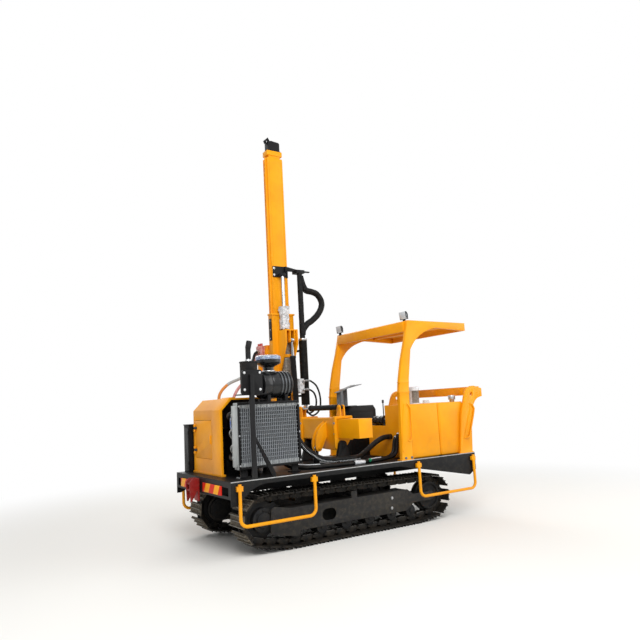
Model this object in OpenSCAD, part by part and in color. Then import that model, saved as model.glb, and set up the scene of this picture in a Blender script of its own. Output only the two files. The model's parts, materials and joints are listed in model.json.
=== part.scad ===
// Tracked pile driver rig: a mast with a hydraulic hammer on the end of a sliding arm.
// Millimetres. X runs from the engine end (-) to the tank end (+), Y from the step
// side (-) to the mast side (+), Z up from the ground. Sizes are laid out from the
// point midway between the tracks, and placed() moves the whole to its own middle.

/* [Deck] */
// Distance from the middle to the engine end of the deck
deck_back = 1600; // [1500:10:1700]
// Distance from the middle to the tank end of the deck
deck_front = 1940; // [1900:10:2050]
// Width of the deck
deck_w = 1600; // [1560:10:1700]
// Height of the deck's top face
deck_top = 780; // [760:5:820]
// Thickness of the deck plate
deck_t = 10; // [6:1:16]
// Depth of the deck's edge rail
rail_d = 62; // [50:1:80]
// Thickness of the side and end plates
side_t = 8; // [6:1:12]
// Diameter of the step pipe
step_d = 36; // [30:1:42]
// Height of the step pipe's lower run
step_low = 310; // [280:5:360]

/* [Tracks] */
// Distance between the two track centres
gauge = 1180; // [1120:10:1240]
// Width of a track shoe
shoe_w = 350; // [300:10:380]
// Nominal pitch of the shoes
pitch = 154; // [140:1:175]
// Height of the grousers over the shoe
grouser_h = 18; // [10:1:26]
// Pitch radius of the sprocket
sprocket_r = 220; // [200:1:235]
// Distance from the middle to the sprocket's axle
sprocket_x = 1182; // [1100:2:1240]
// Height of the sprocket's axle
sprocket_z = 335; // [320:1:350]
// Pitch radius of the idler
idler_r = 210; // [190:1:225]
// Distance from the middle to the idler's axle
idler_x = 1192; // [1100:2:1240]
// Height of the idler's axle
idler_z = 302; // [290:1:320]
// Radius of a track roller
roller_r = 60; // [50:1:66]
// Height of the track frame's upper face
frame_top = 420; // [400:1:430]

/* [Engine end] */
// Width of the hood across the deck
hood_w = 835; // [780:5:860]
// Height of the hood's top
hood_top = 1640; // [1560:5:1700]
// Length of the hood
hood_len = 900; // [820:10:960]
// Sheet and frame thickness of the hood
hood_t = 20; // [12:1:28]
// Width of the radiator
rad_w = 822; // [720:2:860]
// Height of the radiator
rad_h = 710; // [600:5:720]
// Depth of the radiator
rad_d = 110; // [90:2:130]
// Radius of the air filter's canister
filter_r = 153; // [120:1:160]
// Length of the air filter's canister
filter_len = 400; // [340:5:420]
// Diameter of the exhaust pipe
exhaust_d = 58; // [50:1:76]

/* [Tank end] */
// Length of the tanks along the deck
tank_len = 960; // [880:5:1000]
// Height of the tanks' upper face
tank_top = 1457; // [1380:1:1500]
// Width of the canopy's posts across the deck
post_w = 50; // [44:2:70]
// Height of the canopy's upper edge
canopy_top = 2530; // [2480:5:2600]
// Length of the canopy's roof
roof_len = 1035; // [980:5:1140]

/* [Slide arm] */
// Distance from the middle to the arm's centre plane
arm_x = 205; // [190:1:220]
// Width of the arm's square tube
arm_w = 200; // [180:2:210]
// Height of the arm's tube
arm_h = 230; // [210:2:240]
// Height of the arm's centre
arm_z = 1205; // [1195:1:1215]
// Wall of the arm's tube
arm_wall = 12; // [8:1:16]
// Running clearance of the arm in its sleeve
arm_gap = 6; // [4:1:10]
// Distance from the middle to the arm's free end
arm_near = 730; // [700:5:760]
// Length of the sleeve
sleeve_len = 860; // [800:5:880]
// Height of the lean pivot
lean_z = 1000; // [990:1:1010]
// Diameter of the lean pivot's pin
lean_pin = 50; // [40:1:60]

/* [Mast] */
// Distance from the middle to the mast's centre plane
mast_x = 165; // [150:1:180]
// Width of the mast's box
mast_w = 260; // [230:2:280]
// Depth of the mast's box
mast_d = 145; // [130:1:160]
// Distance from the middle to the mast's nearer face
mast_y = 1120; // [1110:1:1135]
// Height of the mast's foot over the ground
mast_foot = 450; // [430:5:500]
// Height of the mast's shoulder
mast_top = 5325; // [5000:10:5400]
// Width of the mast's guide strip at each side
guide_w = 25; // [20:1:30]
// Height of the carriage's top
carriage_top = 2880; // [2800:5:2920]
// Distance from the middle to the tilt pivot
tilt_y = 1000; // [990:1:1010]
// Diameter of the tilt pivot's pin
tilt_pin = 60; // [50:1:70]

/* [Hammer] */
// Height of the hammer's top
hammer_top = 2440; // [2380:5:2480]
// Length of the hammer's body
hammer_h = 900; // [820:5:960]
// Width of the hammer's body
hammer_w = 340; // [300:5:380]
// Depth of the hammer's body
hammer_d = 300; // [260:5:340]
// Diameter of the striking tool
tool_d = 130; // [110:2:150]

/* [Cylinders] */
// Diameter of the lift cylinder's barrel
lift_d = 96; // [84:2:104]
// Diameter of the tilt cylinder's barrel
tilt_d = 82; // [70:2:90]
// Diameter of the slide cylinder's barrel
slide_d = 70; // [60:2:80]
// Diameter of the lean cylinder's barrel
lean_d = 80; // [70:2:90]

/* [Hidden] */
$fn = 48;

half_w = deck_w / 2;
deck_under = deck_top - rail_d;
seat_gap = 0.3;

// Shoe section: link line at 0, plate between shoe_in and shoe_out, outwards positive
shoe_in = 24;
shoe_out = 42;
link_in = -38;
link_line = shoe_out + grouser_h;

// Wheels of the track's loop as [x, z, radius], in the order that the loop passes them
roller_back = -860;
roller_front = 930;
belt_wheels = [
    [roller_back, link_line + 40, 40],
    [roller_front, link_line + 40, 40],
    [idler_x, idler_z, idler_r],
    [-sprocket_x, sprocket_z, sprocket_r]];
belt_count = len(belt_wheels);

function wheel_after(i) = belt_wheels[(i + 1) % belt_count];
function flat(v) = [v[0], v[1]];
function run_normal(a, b) =
    let (d = flat(b) - flat(a))
    atan2(d[1], d[0]) - acos((a[2] - b[2]) / norm(d));
function turn_from(a, b) = (b - a) - 360 * floor((b - a) / 360);
belt_normals = [for (i = [0 : belt_count - 1]) run_normal(belt_wheels[i], wheel_after(i))];
belt_runs = [for (i = [0 : belt_count - 1])
    let (a = belt_wheels[i], b = wheel_after(i), d = norm(flat(b) - flat(a)))
    sqrt(d * d - pow(a[2] - b[2], 2))];
belt_turns = [for (i = [0 : belt_count - 1])
    turn_from(belt_normals[i], belt_normals[(i + 1) % belt_count])];
belt_arcs = [for (i = [0 : belt_count - 1]) wheel_after(i)[2] * belt_turns[i] * PI / 180];

function total(v, i = 0) = i == len(v) ? 0 : v[i] + total(v, i + 1);
belt_len = total(belt_runs) + total(belt_arcs);
shoe_count = round(belt_len / pitch);
shoe_pitch = belt_len / shoe_count;

// Place on the loop, s along it: [x, z, direction of the outward normal]
function belt_at(s, i = 0) =
    let (a = belt_wheels[i], b = wheel_after(i), nu = belt_normals[i], run = belt_runs[i],
        arc = belt_arcs[i])
    s <= run
        ? let (p = flat(a) + a[2] * [cos(nu), sin(nu)] + s * [-sin(nu), cos(nu)])
            [p[0], p[1], nu]
        : s <= run + arc || i == belt_count - 1
            ? let (w = nu + (s - run) / b[2] * 180 / PI)
                [b[0] + b[2] * cos(w), b[1] + b[2] * sin(w), w]
            : belt_at(s - run - arc, i + 1);
function off_belt(place, along, out) =
    [place[0] + out * cos(place[2]) - along * sin(place[2]),
     place[1] + out * sin(place[2]) + along * cos(place[2])];

// One shoe seen from the side as [along, out]: three grousers on a plate
grouser_pitch = 55;
grouser_b = 6;
shoe_profile = concat(
    [[-shoe_pitch / 2, shoe_in + 6], [-shoe_pitch / 2 + 3, shoe_out]],
    [for (g = [-1 : 1]) each [
        [g * grouser_pitch - grouser_b, shoe_out],
        [g * grouser_pitch, shoe_out + grouser_h],
        [g * grouser_pitch + grouser_b, shoe_out]]],
    [[shoe_pitch / 2 - 3, shoe_out]]);
function shoe_loop() = [for (k = [0 : shoe_count - 1])
    let (place = belt_at((k + 0.5) * shoe_pitch))
    each [for (p = shoe_profile) off_belt(place, p[0], p[1])]];

// The loop at a constant distance from the link line, with its turns in steps
turn_steps = 24;
function belt_ring(out) = [for (i = [0 : belt_count - 1])
    let (b = wheel_after(i), steps = b[2] > 100 ? turn_steps : 2)
    each [for (k = [0 : steps])
        let (w = belt_normals[i] + belt_turns[i] * k / steps, r = b[2] + out)
        [b[0] + r * cos(w), b[1] + r * sin(w)]]];

link_at = 50;
link_t = 30;

frame_plate_at = 100;
frame_plate_t = 12;
frame_low = 170;
frame_end = 900;

// Smooth tube through hand-chosen points
function unit(v) = v / norm(v);
function curve(p, k) = [for (i = [0 : len(p) - 2])
    let (a = p[max(i - 1, 0)], b = p[i], c = p[i + 1], d = p[min(i + 2, len(p) - 1)])
    each [for (j = [0 : (i == len(p) - 2 ? k : k - 1)])
        let (t = j / k)
        0.5 * (2 * b + (c - a) * t + (2 * a - 5 * b + 4 * c - d) * t * t
            + (3 * b - a - 3 * c + d) * t * t * t)]];
function tangents(c) = [for (i = [0 : len(c) - 1])
    unit(c[min(i + 1, len(c) - 1)] - c[max(i - 1, 0)])];
function square_to(n, t) = unit(n - (n * t) * t);
function first_side(t) = square_to(abs(t[2]) < 0.9 ? [0, 0, 1] : [1, 0, 0], t);
function sides_of(t) = [for (i = 0, n = first_side(t[0]); i < len(t);
    i = i + 1, n = i < len(t) ? square_to(n, t[i]) : n) n];

module hose(points, d, k = 3, sides = 8) {
    c = curve(points, k);
    t = tangents(c);
    n = sides_of(t);
    last = len(c) - 1;
    rings = [for (i = [0 : last]) each [for (j = [0 : sides - 1])
        let (w = 360 * j / sides)
        c[i] + d / 2 * (cos(w) * n[i] + sin(w) * cross(t[i], n[i]))]];
    walls = [for (i = [0 : last - 1]) each [for (j = [0 : sides - 1])
        let (q = (j + 1) % sides)
        [i * sides + j, i * sides + q, (i + 1) * sides + q, (i + 1) * sides + j]]];
    polyhedron(
        points = rings,
        faces = concat([for (f = walls) [f[3], f[2], f[1], f[0]]],
            [[for (j = [0 : sides - 1]) j]],
            [[for (j = [sides - 1 : -1 : 0]) last * sides + j]]));
}

module slab(x, y, z) {
    translate([x[0], y[0], z[0]])
        cube([x[1] - x[0], y[1] - y[0], z[1] - z[0]]);
}

// An outline of [x, z] points made a plate between two distances in Y
module upright(y, outline) {
    translate([0, y[1], 0]) rotate([90, 0, 0])
        linear_extrude(y[1] - y[0]) polygon(outline);
}

// An outline of [y, z] points made a plate between two distances in X
module crosswise(x, outline) {
    translate([x[0], 0, 0]) rotate([90, 0, 90])
        linear_extrude(x[1] - x[0]) polygon(outline);
}

module both_sides() {
    children();
    mirror([0, 1, 0]) children();
}

// A bar along Y whose four long edges are round
module round_bar(x, y, z, r) {
    slab([x[0] + r, x[1] - r], y, z);
    slab(x, y, [z[0] + r, z[1] - r]);
    for (a = [x[0] + r, x[1] - r], b = [z[0] + r, z[1] - r]) rod_y(a, y, b, r);
}

module rod_x(x, y, z, r) {
    translate([x[0], y, z]) rotate([0, 90, 0]) cylinder(r = r, h = x[1] - x[0]);
}

module rod_y(x, y, z, r) {
    translate([x, y[1], z]) rotate([90, 0, 0]) cylinder(r = r, h = y[1] - y[0]);
}

module rod_z(x, y, z, r) {
    translate([x, y, z[0]]) cylinder(r = r, h = z[1] - z[0]);
}

function arc_points(c, r, from, to, n) = [for (k = [0 : n])
    let (w = from + (to - from) * k / n)
    [c[0] + r * cos(w), c[1] + r * sin(w)]];

module belt(y) {
    upright([y - shoe_w / 2, y + shoe_w / 2], shoe_loop());
}

module track(side) {
    y = side * gauge / 2;
    difference() {
        belt(y);
        upright([y - shoe_w, y + shoe_w], belt_ring(shoe_in));
    }
    for (s = [-1, 1])
        difference() {
            upright([y + s * link_at - link_t / 2, y + s * link_at + link_t / 2],
                belt_ring(shoe_in + 1));
            upright([y - shoe_w, y + shoe_w], belt_ring(link_in));
        }
}

module left_track() {
    placed("dimgray") track(-1);
}

module right_track() {
    placed("dimgray") track(1);
}

tooth_count = round(2 * PI * sprocket_r / pitch);
tooth_root = sprocket_r - 30;
tooth_tip = sprocket_r + 10;
sprocket_t = 44;
drive_r = 125;

// One point in three of a tooth's flank, root and tip
sprocket_outline = [for (k = [0 : tooth_count - 1])
    let (w = 360 * k / tooth_count, q = 360 / tooth_count)
    each [for (p = [[-0.30, tooth_root], [-0.14, tooth_tip], [0.14, tooth_tip],
            [0.30, tooth_root]])
        [p[1] * cos(w + p[0] * q), p[1] * sin(w + p[0] * q)]]];

module drive_sprockets() {
    placed("black") both_sides() translate([-sprocket_x, -gauge / 2, sprocket_z])
        rotate([90, 0, 0]) {
            translate([0, 0, -sprocket_t / 2]) linear_extrude(sprocket_t)
                polygon(sprocket_outline);
            translate([0, 0, -150]) cylinder(r = drive_r, h = 240);
            translate([0, 0, 90]) cylinder(r = 78, h = 18);
            for (k = [0 : 7]) rotate([0, 0, 45 * k]) translate([100, 0, 90])
                cylinder(r = 10, h = 9);
        }
}

idler_tread = idler_r + link_in - 1;

module idler_wheels() {
    placed("black") both_sides() translate([idler_x, -gauge / 2, idler_z])
        rotate([90, 0, 0]) {
            difference() {
                union() {
                    translate([0, 0, -80]) cylinder(r = idler_tread, h = 160);
                    translate([0, 0, -24]) cylinder(r = idler_r - 18, h = 48);
                }
                for (s = [-1, 1]) translate([0, 0, s * 80 - 25]) difference() {
                    cylinder(r = idler_tread - 28, h = 50);
                    cylinder(r = 62, h = 50);
                }
            }
            translate([0, 0, -(frame_plate_at - seat_gap)])
                cylinder(r = 30, h = 2 * (frame_plate_at - seat_gap));
        }
}

roller_xs = [-780, -445, -110, 225, 560, 860];
roller_z = link_line - link_in + roller_r + seat_gap;
carrier_r = 30;
carrier_x = 0;
top_line = belt_at(belt_runs[0] + belt_arcs[0] + belt_runs[1] + belt_arcs[1]
    + belt_runs[2] / 2)[1];
carrier_z = top_line + link_in - carrier_r - 2;

module roller(r) {
    rotate([90, 0, 0]) {
        translate([0, 0, -75]) cylinder(r = r, h = 150);
        for (s = [-1, 1]) translate([0, 0, s * 81 - 6]) cylinder(r = r + 12, h = 12);
        translate([0, 0, -(frame_plate_at - seat_gap)])
            cylinder(r = 22, h = 2 * (frame_plate_at - seat_gap));
    }
}

module track_rollers() {
    placed("black") both_sides() translate([0, -gauge / 2, 0]) {
        for (x = roller_xs) translate([x, 0, roller_z]) roller(roller_r);
        translate([carrier_x, 0, carrier_z]) rotate([90, 0, 0]) {
            translate([0, 0, -70]) cylinder(r = carrier_r, h = 140);
            translate([0, 0, -(frame_plate_at - seat_gap)])
                cylinder(r = 18, h = 2 * (frame_plate_at - seat_gap));
        }
    }
}

yoke_r = 52;
yoke_x = idler_x;
// Side plate of a track frame: idler yoke, straight box and sprocket end
frame_outline = concat(
    [[-frame_end, frame_low + 60], [-frame_end + 60, frame_low], [frame_end - 120, frame_low],
     [frame_end, idler_z - yoke_r]],
    arc_points([yoke_x, idler_z], yoke_r, -90, 90, 8),
    [[frame_end, idler_z + yoke_r], [frame_end - 90, frame_top], [-frame_end, frame_top]]);
drive_plate_r = 150;

beam_x = 450;
beam_w = 160;
beam_z = [250, 400];
chord_y = 300;
chord_w = 120;

// Rounded cover over the outer face at the sprocket's end, as [x, z, corner radius]
cover_corners = [[-1064, 216, 50], [-796, 162, 45], [-782, 362, 45], [-1052, 408, 50]];
cover_t = 8;
grease_x = -358;
grease_z = 287;

module track_frame() {
    difference() {
        for (s = [-1, 1])
            upright([s * frame_plate_at + min(0, s * frame_plate_t),
                    s * frame_plate_at + max(0, s * frame_plate_t)], frame_outline);
        upright([-frame_plate_at - frame_plate_t - 1, -frame_plate_at + 1], concat(
            arc_points([grease_x + 32, grease_z], 63, -90, 90, 12),
            arc_points([grease_x - 32, grease_z], 63, 90, 270, 12)));
    }
    upright([-frame_plate_at - frame_plate_t - cover_t, -frame_plate_at - frame_plate_t],
        [for (k = [0 : 3]) each
            let (c = cover_corners[k])
            arc_points([c[0], c[1]], c[2], 180 + 90 * k, 270 + 90 * k, 6)]);
    slab([-frame_end + 10, frame_end - 110],
        [-frame_plate_at, frame_plate_at], [frame_top - 14, frame_top]);
    for (s = [-1, 1]) slab([carrier_x - 40, carrier_x + 40],
        [s * frame_plate_at + min(0, s * frame_plate_t),
         s * frame_plate_at + max(0, s * frame_plate_t)], [frame_top - 5, carrier_z + 35]);
}

module drive_mount() {
    difference() {
        upright([frame_plate_at, frame_plate_at + 20], concat(
            [[-frame_end + 60, frame_low + 20]],
            arc_points([-sprocket_x, sprocket_z], drive_plate_r, 270, 90, 12),
            [[-frame_end + 60, frame_top]]));
        rod_y(-sprocket_x, [frame_plate_at - 10, frame_plate_at + 40], sprocket_z,
            drive_r + seat_gap);
    }
}

module track_frames() {
    placed("black") {
        both_sides() translate([0, -gauge / 2, 0]) {
            track_frame();
            drive_mount();
        }
        inner = gauge / 2 - frame_plate_at;
        for (x = [-beam_x, beam_x]) {
            slab([x - beam_w / 2, x + beam_w / 2], [-inner, inner], beam_z);
            for (s = [-1, 1]) slab([x - beam_w / 2, x + beam_w / 2],
                [s * chord_y - chord_w / 2, s * chord_y + chord_w / 2],
                [beam_z[1], chord_low]);
        }
        slab([-beam_x, beam_x], [-lean_bay / 2 - 20, -lean_bay / 2], [beam_z[0] + 20, beam_z[1]]);
        slab([-beam_x, beam_x], [lean_bay / 2, lean_bay / 2 + 20], [beam_z[0] + 20, beam_z[1]]);
        slab([lean_foot[0] - 70, lean_foot[0] + 70], [-lean_bay / 2, lean_bay / 2],
            [beam_z[1] - 30, beam_z[1]]);
        for (s = [-1, 1]) lean_foot_lug(s);
    }
}

// Fender under the engine end of the edge rail: corner, curve and straight rail
fender_x = 1170;
fender_low = 534;
tail_low = 498;
tail_x = 640;
side_outline = concat(
    [[-deck_back, deck_top - deck_t], [-deck_back, fender_low], [-deck_back + 50, fender_low]],
    arc_points([-fender_x, fender_low - 193], 387, 145, 90, 8),
    [[tail_x, deck_under], [tail_x + 350, deck_under - 65], [deck_front - 120, tail_low],
     [deck_front - 40, tail_low + 49], [deck_front, tail_low + 60],
     [deck_front, deck_top - deck_t]]);
chord_low = 600;
lean_bay = 180;
lean_slot = [-240, 30];

module deck() {
    placed("black") {
        difference() {
            slab([-deck_back, deck_front], [-half_w, half_w], [deck_top - deck_t, deck_top]);
            slab(lean_slot, [lean_y - lean_bay / 2, lean_y + lean_bay / 2],
                [deck_top - 2 * deck_t, deck_top + deck_t]);
        }
        both_sides() upright([-half_w, -half_w + side_t], side_outline);
        both_sides() slab([-deck_back + side_t, deck_front - side_t],
            [chord_y - chord_w / 2, chord_y + chord_w / 2], [chord_low, deck_top - deck_t]);
        for (x = [-1050, -450, 450, 1050, 1600]) both_sides()
            slab([x - 30, x + 30], [chord_y + chord_w / 2, half_w - side_t],
                [deck_under + 6, deck_top - deck_t]);
        for (x = [-1050, -450, 450, 1050]) slab([x - 30, x + 30],
            [-chord_y + chord_w / 2, chord_y - chord_w / 2], [chord_low + 60, deck_top - deck_t]);
        // End frame at the engine end: flat bars around two bays
        slab([-deck_back, -deck_back + side_t], [-half_w + side_t, half_w - side_t],
            [deck_top - 60, deck_top - deck_t]);
        for (y = [-half_w + side_t, -30, half_w - 60]) slab([-deck_back, -deck_back + side_t],
            [y, y + 52], [end_low, deck_top - 60]);
        slab([-deck_back, -deck_back + side_t], [-half_w + side_t, half_w - side_t],
            [end_low, end_low + 30]);
        slab([deck_front - side_t, deck_front], [-half_w + side_t, half_w - side_t],
            [tail_low + 60, deck_top - deck_t]);
    }
}

end_low = 604;
panel_t = 12;

module end_panels() {
    placed("crimson") for (y = [[-578, -70], [330, 622]])
        slab([-deck_back - panel_t, -deck_back], y, [end_low + 26, end_low + 122]);
}

hitch_y = 115;
hitch_len = 115;

module tow_hitch() {
    placed("darkred") {
        slab([-deck_back - 14, -deck_back], [hitch_y - 64, hitch_y + 64], [512, deck_top - 16]);
        for (y = [hitch_y - 64, hitch_y + 50]) upright([y, y + 14], [[-deck_back - 10, 764],
            [-deck_back - 80, 764], [-deck_back - hitch_len, 728], [-deck_back - hitch_len, 664],
            [-deck_back - 106, 512], [-deck_back - 92, 512], [-deck_back - 36, 612],
            [-deck_back - 10, 640]]);
        for (z = [deck_top - 60, deck_top - 130]) difference() {
            slab([-deck_back - hitch_len + 8, -deck_back - 13], [hitch_y - 52, hitch_y + 52],
                [z - 20, z]);
            rod_z(-deck_back - 75, hitch_y, [z - 30, z + 10], hitch_bore);
        }
    }
}

hitch_bore = 18;

// Step rails as [engine end x, tank end x]
step_spans = [[-1510, -610], [920, 1880]];
step_bend = 80;
step_top = deck_top - 28;
step_y = half_w + 24;

module step_rail(x0, x1) {
    r = step_d / 2;
    low = step_low + r;
    rod_z(x0, -step_y, [low + step_bend, step_top], r);
    rod_z(x1, -step_y, [low + step_bend, step_top], r);
    rod_x([x0 + step_bend, x1 - step_bend], -step_y, low, r);
    translate([x0 + step_bend, -step_y, low + step_bend]) rotate([90, 0, 0])
        rotate([0, 0, 180]) rotate_extrude(angle = 90) translate([step_bend, 0]) circle(r = r);
    translate([x1 - step_bend, -step_y, low + step_bend]) rotate([90, 0, 0])
        rotate([0, 0, 270]) rotate_extrude(angle = 90) translate([step_bend, 0]) circle(r = r);
    for (x = [x0, x1]) difference() {
        slab([x - 34, x + 34], [-half_w - 34, -half_w], [step_top - 70, step_top - 20]);
        rod_z(x, -step_y, [step_top - 100, step_top], r - 1);
    }
}

module step_rails() {
    placed("orange") both_sides() for (span = step_spans) step_rail(span[0], span[1]);
}

// Hood: open towards the radiator and towards the mast
hood_x = -1450;
hood_y = -250;
hood_far = hood_y + hood_w;
hood_low = deck_top + 22;
hood_chamfer = 125;
hood_band = 230;
door_gap = 4;
louvre_pitch = 50;
louvre_h = 18;
door_y = [hood_y + hood_band + 50, hood_far - 60];
door_z = [960, 1400];

hood_profile = [[hood_x, hood_low], [hood_x, hood_top - hood_chamfer],
    [hood_x + hood_chamfer, hood_top], [hood_x + hood_len, hood_top],
    [hood_x + hood_len, hood_top - hood_t],
    [hood_x + hood_chamfer + hood_t * 0.41, hood_top - hood_t],
    [hood_x + hood_t, hood_top - hood_chamfer - hood_t * 0.41], [hood_x + hood_t, hood_low]];
hood_side = [[hood_x, hood_low], [hood_x, hood_top - hood_chamfer],
    [hood_x + hood_chamfer, hood_top], [hood_x + hood_len, hood_top],
    [hood_x + hood_len, hood_low]];

module hood() {
    placed("orange") {
        difference() {
            union() {
                upright([hood_y, hood_far], hood_profile);
                upright([hood_far - hood_t, hood_far], hood_side);
                upright([hood_y, hood_y + hood_band], [
                    [hood_x - 10, hood_low], [hood_x - 10, hood_top - hood_chamfer - 4],
                    [hood_x + hood_chamfer - 4, hood_top + 10],
                    [hood_x + hood_chamfer + 60, hood_top + 10],
                    [hood_x + hood_chamfer + 60, hood_top - 2],
                    [hood_x + hood_chamfer, hood_top - 2],
                    [hood_x + 2, hood_top - hood_chamfer], [hood_x + 2, hood_low]]);
            }
            slab([hood_x - 20, hood_x + hood_t + 5], door_y + [-door_gap, door_gap],
                door_z + [-door_gap, door_gap]);
            for (z = [1040 : louvre_pitch : 1440]) slab([engine_x - 180, engine_x + 280],
                [hood_far - hood_t - 1, hood_far + 1], [z, z + louvre_h]);
        }
        for (z = hinge_zs) {
            rod_z(hinge_x, hinge_y, [z - knuckle * 1.5, z + knuckle * 1.5], hinge_pin);
            for (s = [-1, 1]) {
                rod_z(hinge_x, hinge_y, [z + s * knuckle - knuckle / 2 + 0.5,
                    z + s * knuckle + knuckle / 2 - 0.5], hinge_r);
                slab([hinge_x, hood_x - 0.5], [hinge_y, hinge_y + 46],
                    [z + s * knuckle - knuckle / 2 + 0.5, z + s * knuckle + knuckle / 2 - 0.5]);
                slab([hood_x - 1, hood_x + 1], [door_y[1] + door_gap + 1, hinge_y + 46],
                    [z + s * knuckle - knuckle / 2 + 0.5, z + s * knuckle + knuckle / 2 - 0.5]);
            }
        }
        slab([hood_x - 12, hood_x + 40], [hood_y - 10, hood_far + 12], [deck_top, hood_low]);
        slab([hood_x + 40, hood_x + hood_len], [hood_far - 30, hood_far + 12],
            [deck_top, hood_low]);
    }
}

hinge_r = 10;
hinge_pin = 4;
hinge_x = hood_x - hinge_r - 1;
hinge_y = door_y[1] - 2;
hinge_zs = [door_z[0] + 90, door_z[1] - 90];
knuckle = 30;

module hood_door() {
    placed("orange") {
        slab([hood_x, hood_x + 14], door_y, door_z);
        for (z = hinge_zs) difference() {
            union() {
                rod_z(hinge_x, hinge_y, [z - knuckle / 2 + 1, z + knuckle / 2 - 1], hinge_r);
                slab([hinge_x, hood_x + 1], [hinge_y - 46, hinge_y],
                    [z - knuckle / 2 + 1, z + knuckle / 2 - 1]);
            }
            rod_z(hinge_x, hinge_y, [z - knuckle, z + knuckle], hinge_pin + seat_gap);
        }
        slab([hood_x - 10, hood_x], [door_y[0] + 20, door_y[0] + 65],
            [(door_z[0] + door_z[1]) / 2 - 50, (door_z[0] + door_z[1]) / 2 + 50]);
    }
}

engine_x = -970;
crank_z = 1080;
rad_x = -1452;
rad_y = -600;
rad_z = 870;

module engine() {
    placed("dimgray") {
        slab([engine_x - 190, engine_x + 190], [-230, 330], [crank_z - 170, crank_z + 200]);
        slab([engine_x - 140, engine_x + 140], [-210, 300], [crank_z - 250, crank_z - 170]);
        slab([engine_x - 150, engine_x + 130], [-215, 310], [crank_z + 200, crank_z + 320]);
        slab([engine_x - 90, engine_x + 70], [-190, 290], [crank_z + 320, crank_z + 385]);
        rod_y(engine_x, [330, 430], crank_z, 215);
        rod_y(engine_x, [430, 540], crank_z, 95);
        for (x = [-165, 165]) slab([engine_x + x - 45, engine_x + x + 45], [-150, -60],
            [deck_top, crank_z - 165]);
        for (x = [-165, 165]) slab([engine_x + x - 45, engine_x + x + 45], [230, 320],
            [deck_top, crank_z - 165]);
        rod_y(engine_x, [-275, -230], crank_z, 85);
        rod_y(engine_x, [-320, -230], fan_z, 45);
        rod_y(engine_x + 170, [-270, -60], crank_z + 190, 62);
        rod_x([engine_x - 260, engine_x - 190], -40, crank_z + 20, 52);
        rod_x([engine_x + 190, pump_end], pump_y, pump_z, 60);
        rod_x([pump_end - 22, pump_end], pump_y, pump_z, 70);
        fan(7);
    }
}

fan_r = 245;
fan_z = rad_z + rad_h / 2;
pump_end = -700;
pump_y = -100;
pump_z = crank_z + 120;

module fan(blades) {
    translate([engine_x, -320, fan_z]) rotate([90, 0, 0]) {
        cylinder(r = 60, h = 22);
        for (k = [0 : blades - 1]) rotate([0, 0, 360 * k / blades])
            translate([40, 0, 11]) rotate([24, 0, 0]) translate([0, -42, -3])
                cube([fan_r - 40, 84, 6]);
    }
}

// Radiator: core of upright tubes and fins in a frame, with a tank at its outer side
rad_side = 24;
rad_rows = 16;
rad_cols = 30;

module radiator() {
    x0 = rad_x + 48;
    x1 = rad_x + rad_w;
    core = [x0 + rad_side, x1 - rad_side];
    core_z = [rad_z + rad_side, rad_z + rad_h - rad_side];
    placed("black") {
        slab([x0, x0 + rad_side], [rad_y, rad_y + rad_d], [rad_z, rad_z + rad_h]);
        slab([x1 - rad_side, x1], [rad_y, rad_y + rad_d], [rad_z, rad_z + rad_h]);
        slab(core, [rad_y, rad_y + rad_d], [rad_z, core_z[0]]);
        slab(core, [rad_y - 4, rad_y + rad_d], [core_z[1], rad_z + rad_h]);
        slab(core, [rad_y + 30, rad_y + rad_d - 20], core_z);
        for (k = [1 : rad_cols - 1])
            let (x = core[0] + (core[1] - core[0]) * k / rad_cols)
            slab([x - 3, x + 3], [rad_y + 4, rad_y + 30], core_z);
        for (k = [1 : rad_rows - 1])
            let (z = core_z[0] + (core_z[1] - core_z[0]) * k / rad_rows)
            slab(core, [rad_y + 12, rad_y + 30], [z - 3, z + 3]);
        rod_z(x0 - 16, rad_y + rad_d / 2, [rad_z + 30, rad_z + rad_h - 30], 30);
        slab([x0 - 16, x0 + 1], [rad_y + 25, rad_y + rad_d - 25], [rad_z + 60, rad_z + rad_h - 60]);
        for (z = [rad_z + 130, rad_z + rad_h - 130])
            rod_x([rad_x, x0], rad_y + rad_d / 2, z, 18);
        rod_z(x1 - 210, rad_y + rad_d / 2, [rad_z + rad_h, rad_z + rad_h + 26], 24);
        difference() {
            slab(core, [rad_y + rad_d, rad_y + rad_d + 70], core_z);
            rod_y(engine_x, [rad_y + rad_d - 10, rad_y + rad_d + 80], fan_z, fan_r + 15);
        }
        for (x = [x0 + 10, x1 - 130]) {
            slab([x, x + 120], [rad_y + 10, rad_y + rad_d - 10], [deck_top, deck_top + 12]);
            slab([x + 20, x + 100], [rad_y + 30, rad_y + 50], [deck_top + 12, rad_z]);
        }
    }
}

cabinet_x = [hood_x - 50, hood_x + 450];
cabinet_y = [hood_far + 40, half_w - 10];
cabinet_top = 1345;

module battery_cabinet() {
    placed("black") {
        slab(cabinet_x, cabinet_y, [deck_top, cabinet_top]);
        slab(cabinet_x + [-7, 7], cabinet_y + [-7, 7], [cabinet_top, cabinet_top + 12]);
        slab([cabinet_x[0] - 5, cabinet_x[0]], cabinet_y + [14, -14],
            [deck_top + 40, cabinet_top - 30]);
        for (z = [deck_top + 110, cabinet_top - 90])
            rod_z(cabinet_x[0] - 5, cabinet_y[0] + 10, [z - 22, z + 22], 6);
    }
}

post_x = -1310;
post_y = -782;
filter_y = -500;
filter_z = rad_z + rad_h + 187;
filter_x0 = -1100;
post_top = filter_z + 105;
shelf_low = filter_z - 110;
shelf_t = 12;
plate_x = [-1410, -1165];

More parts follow.
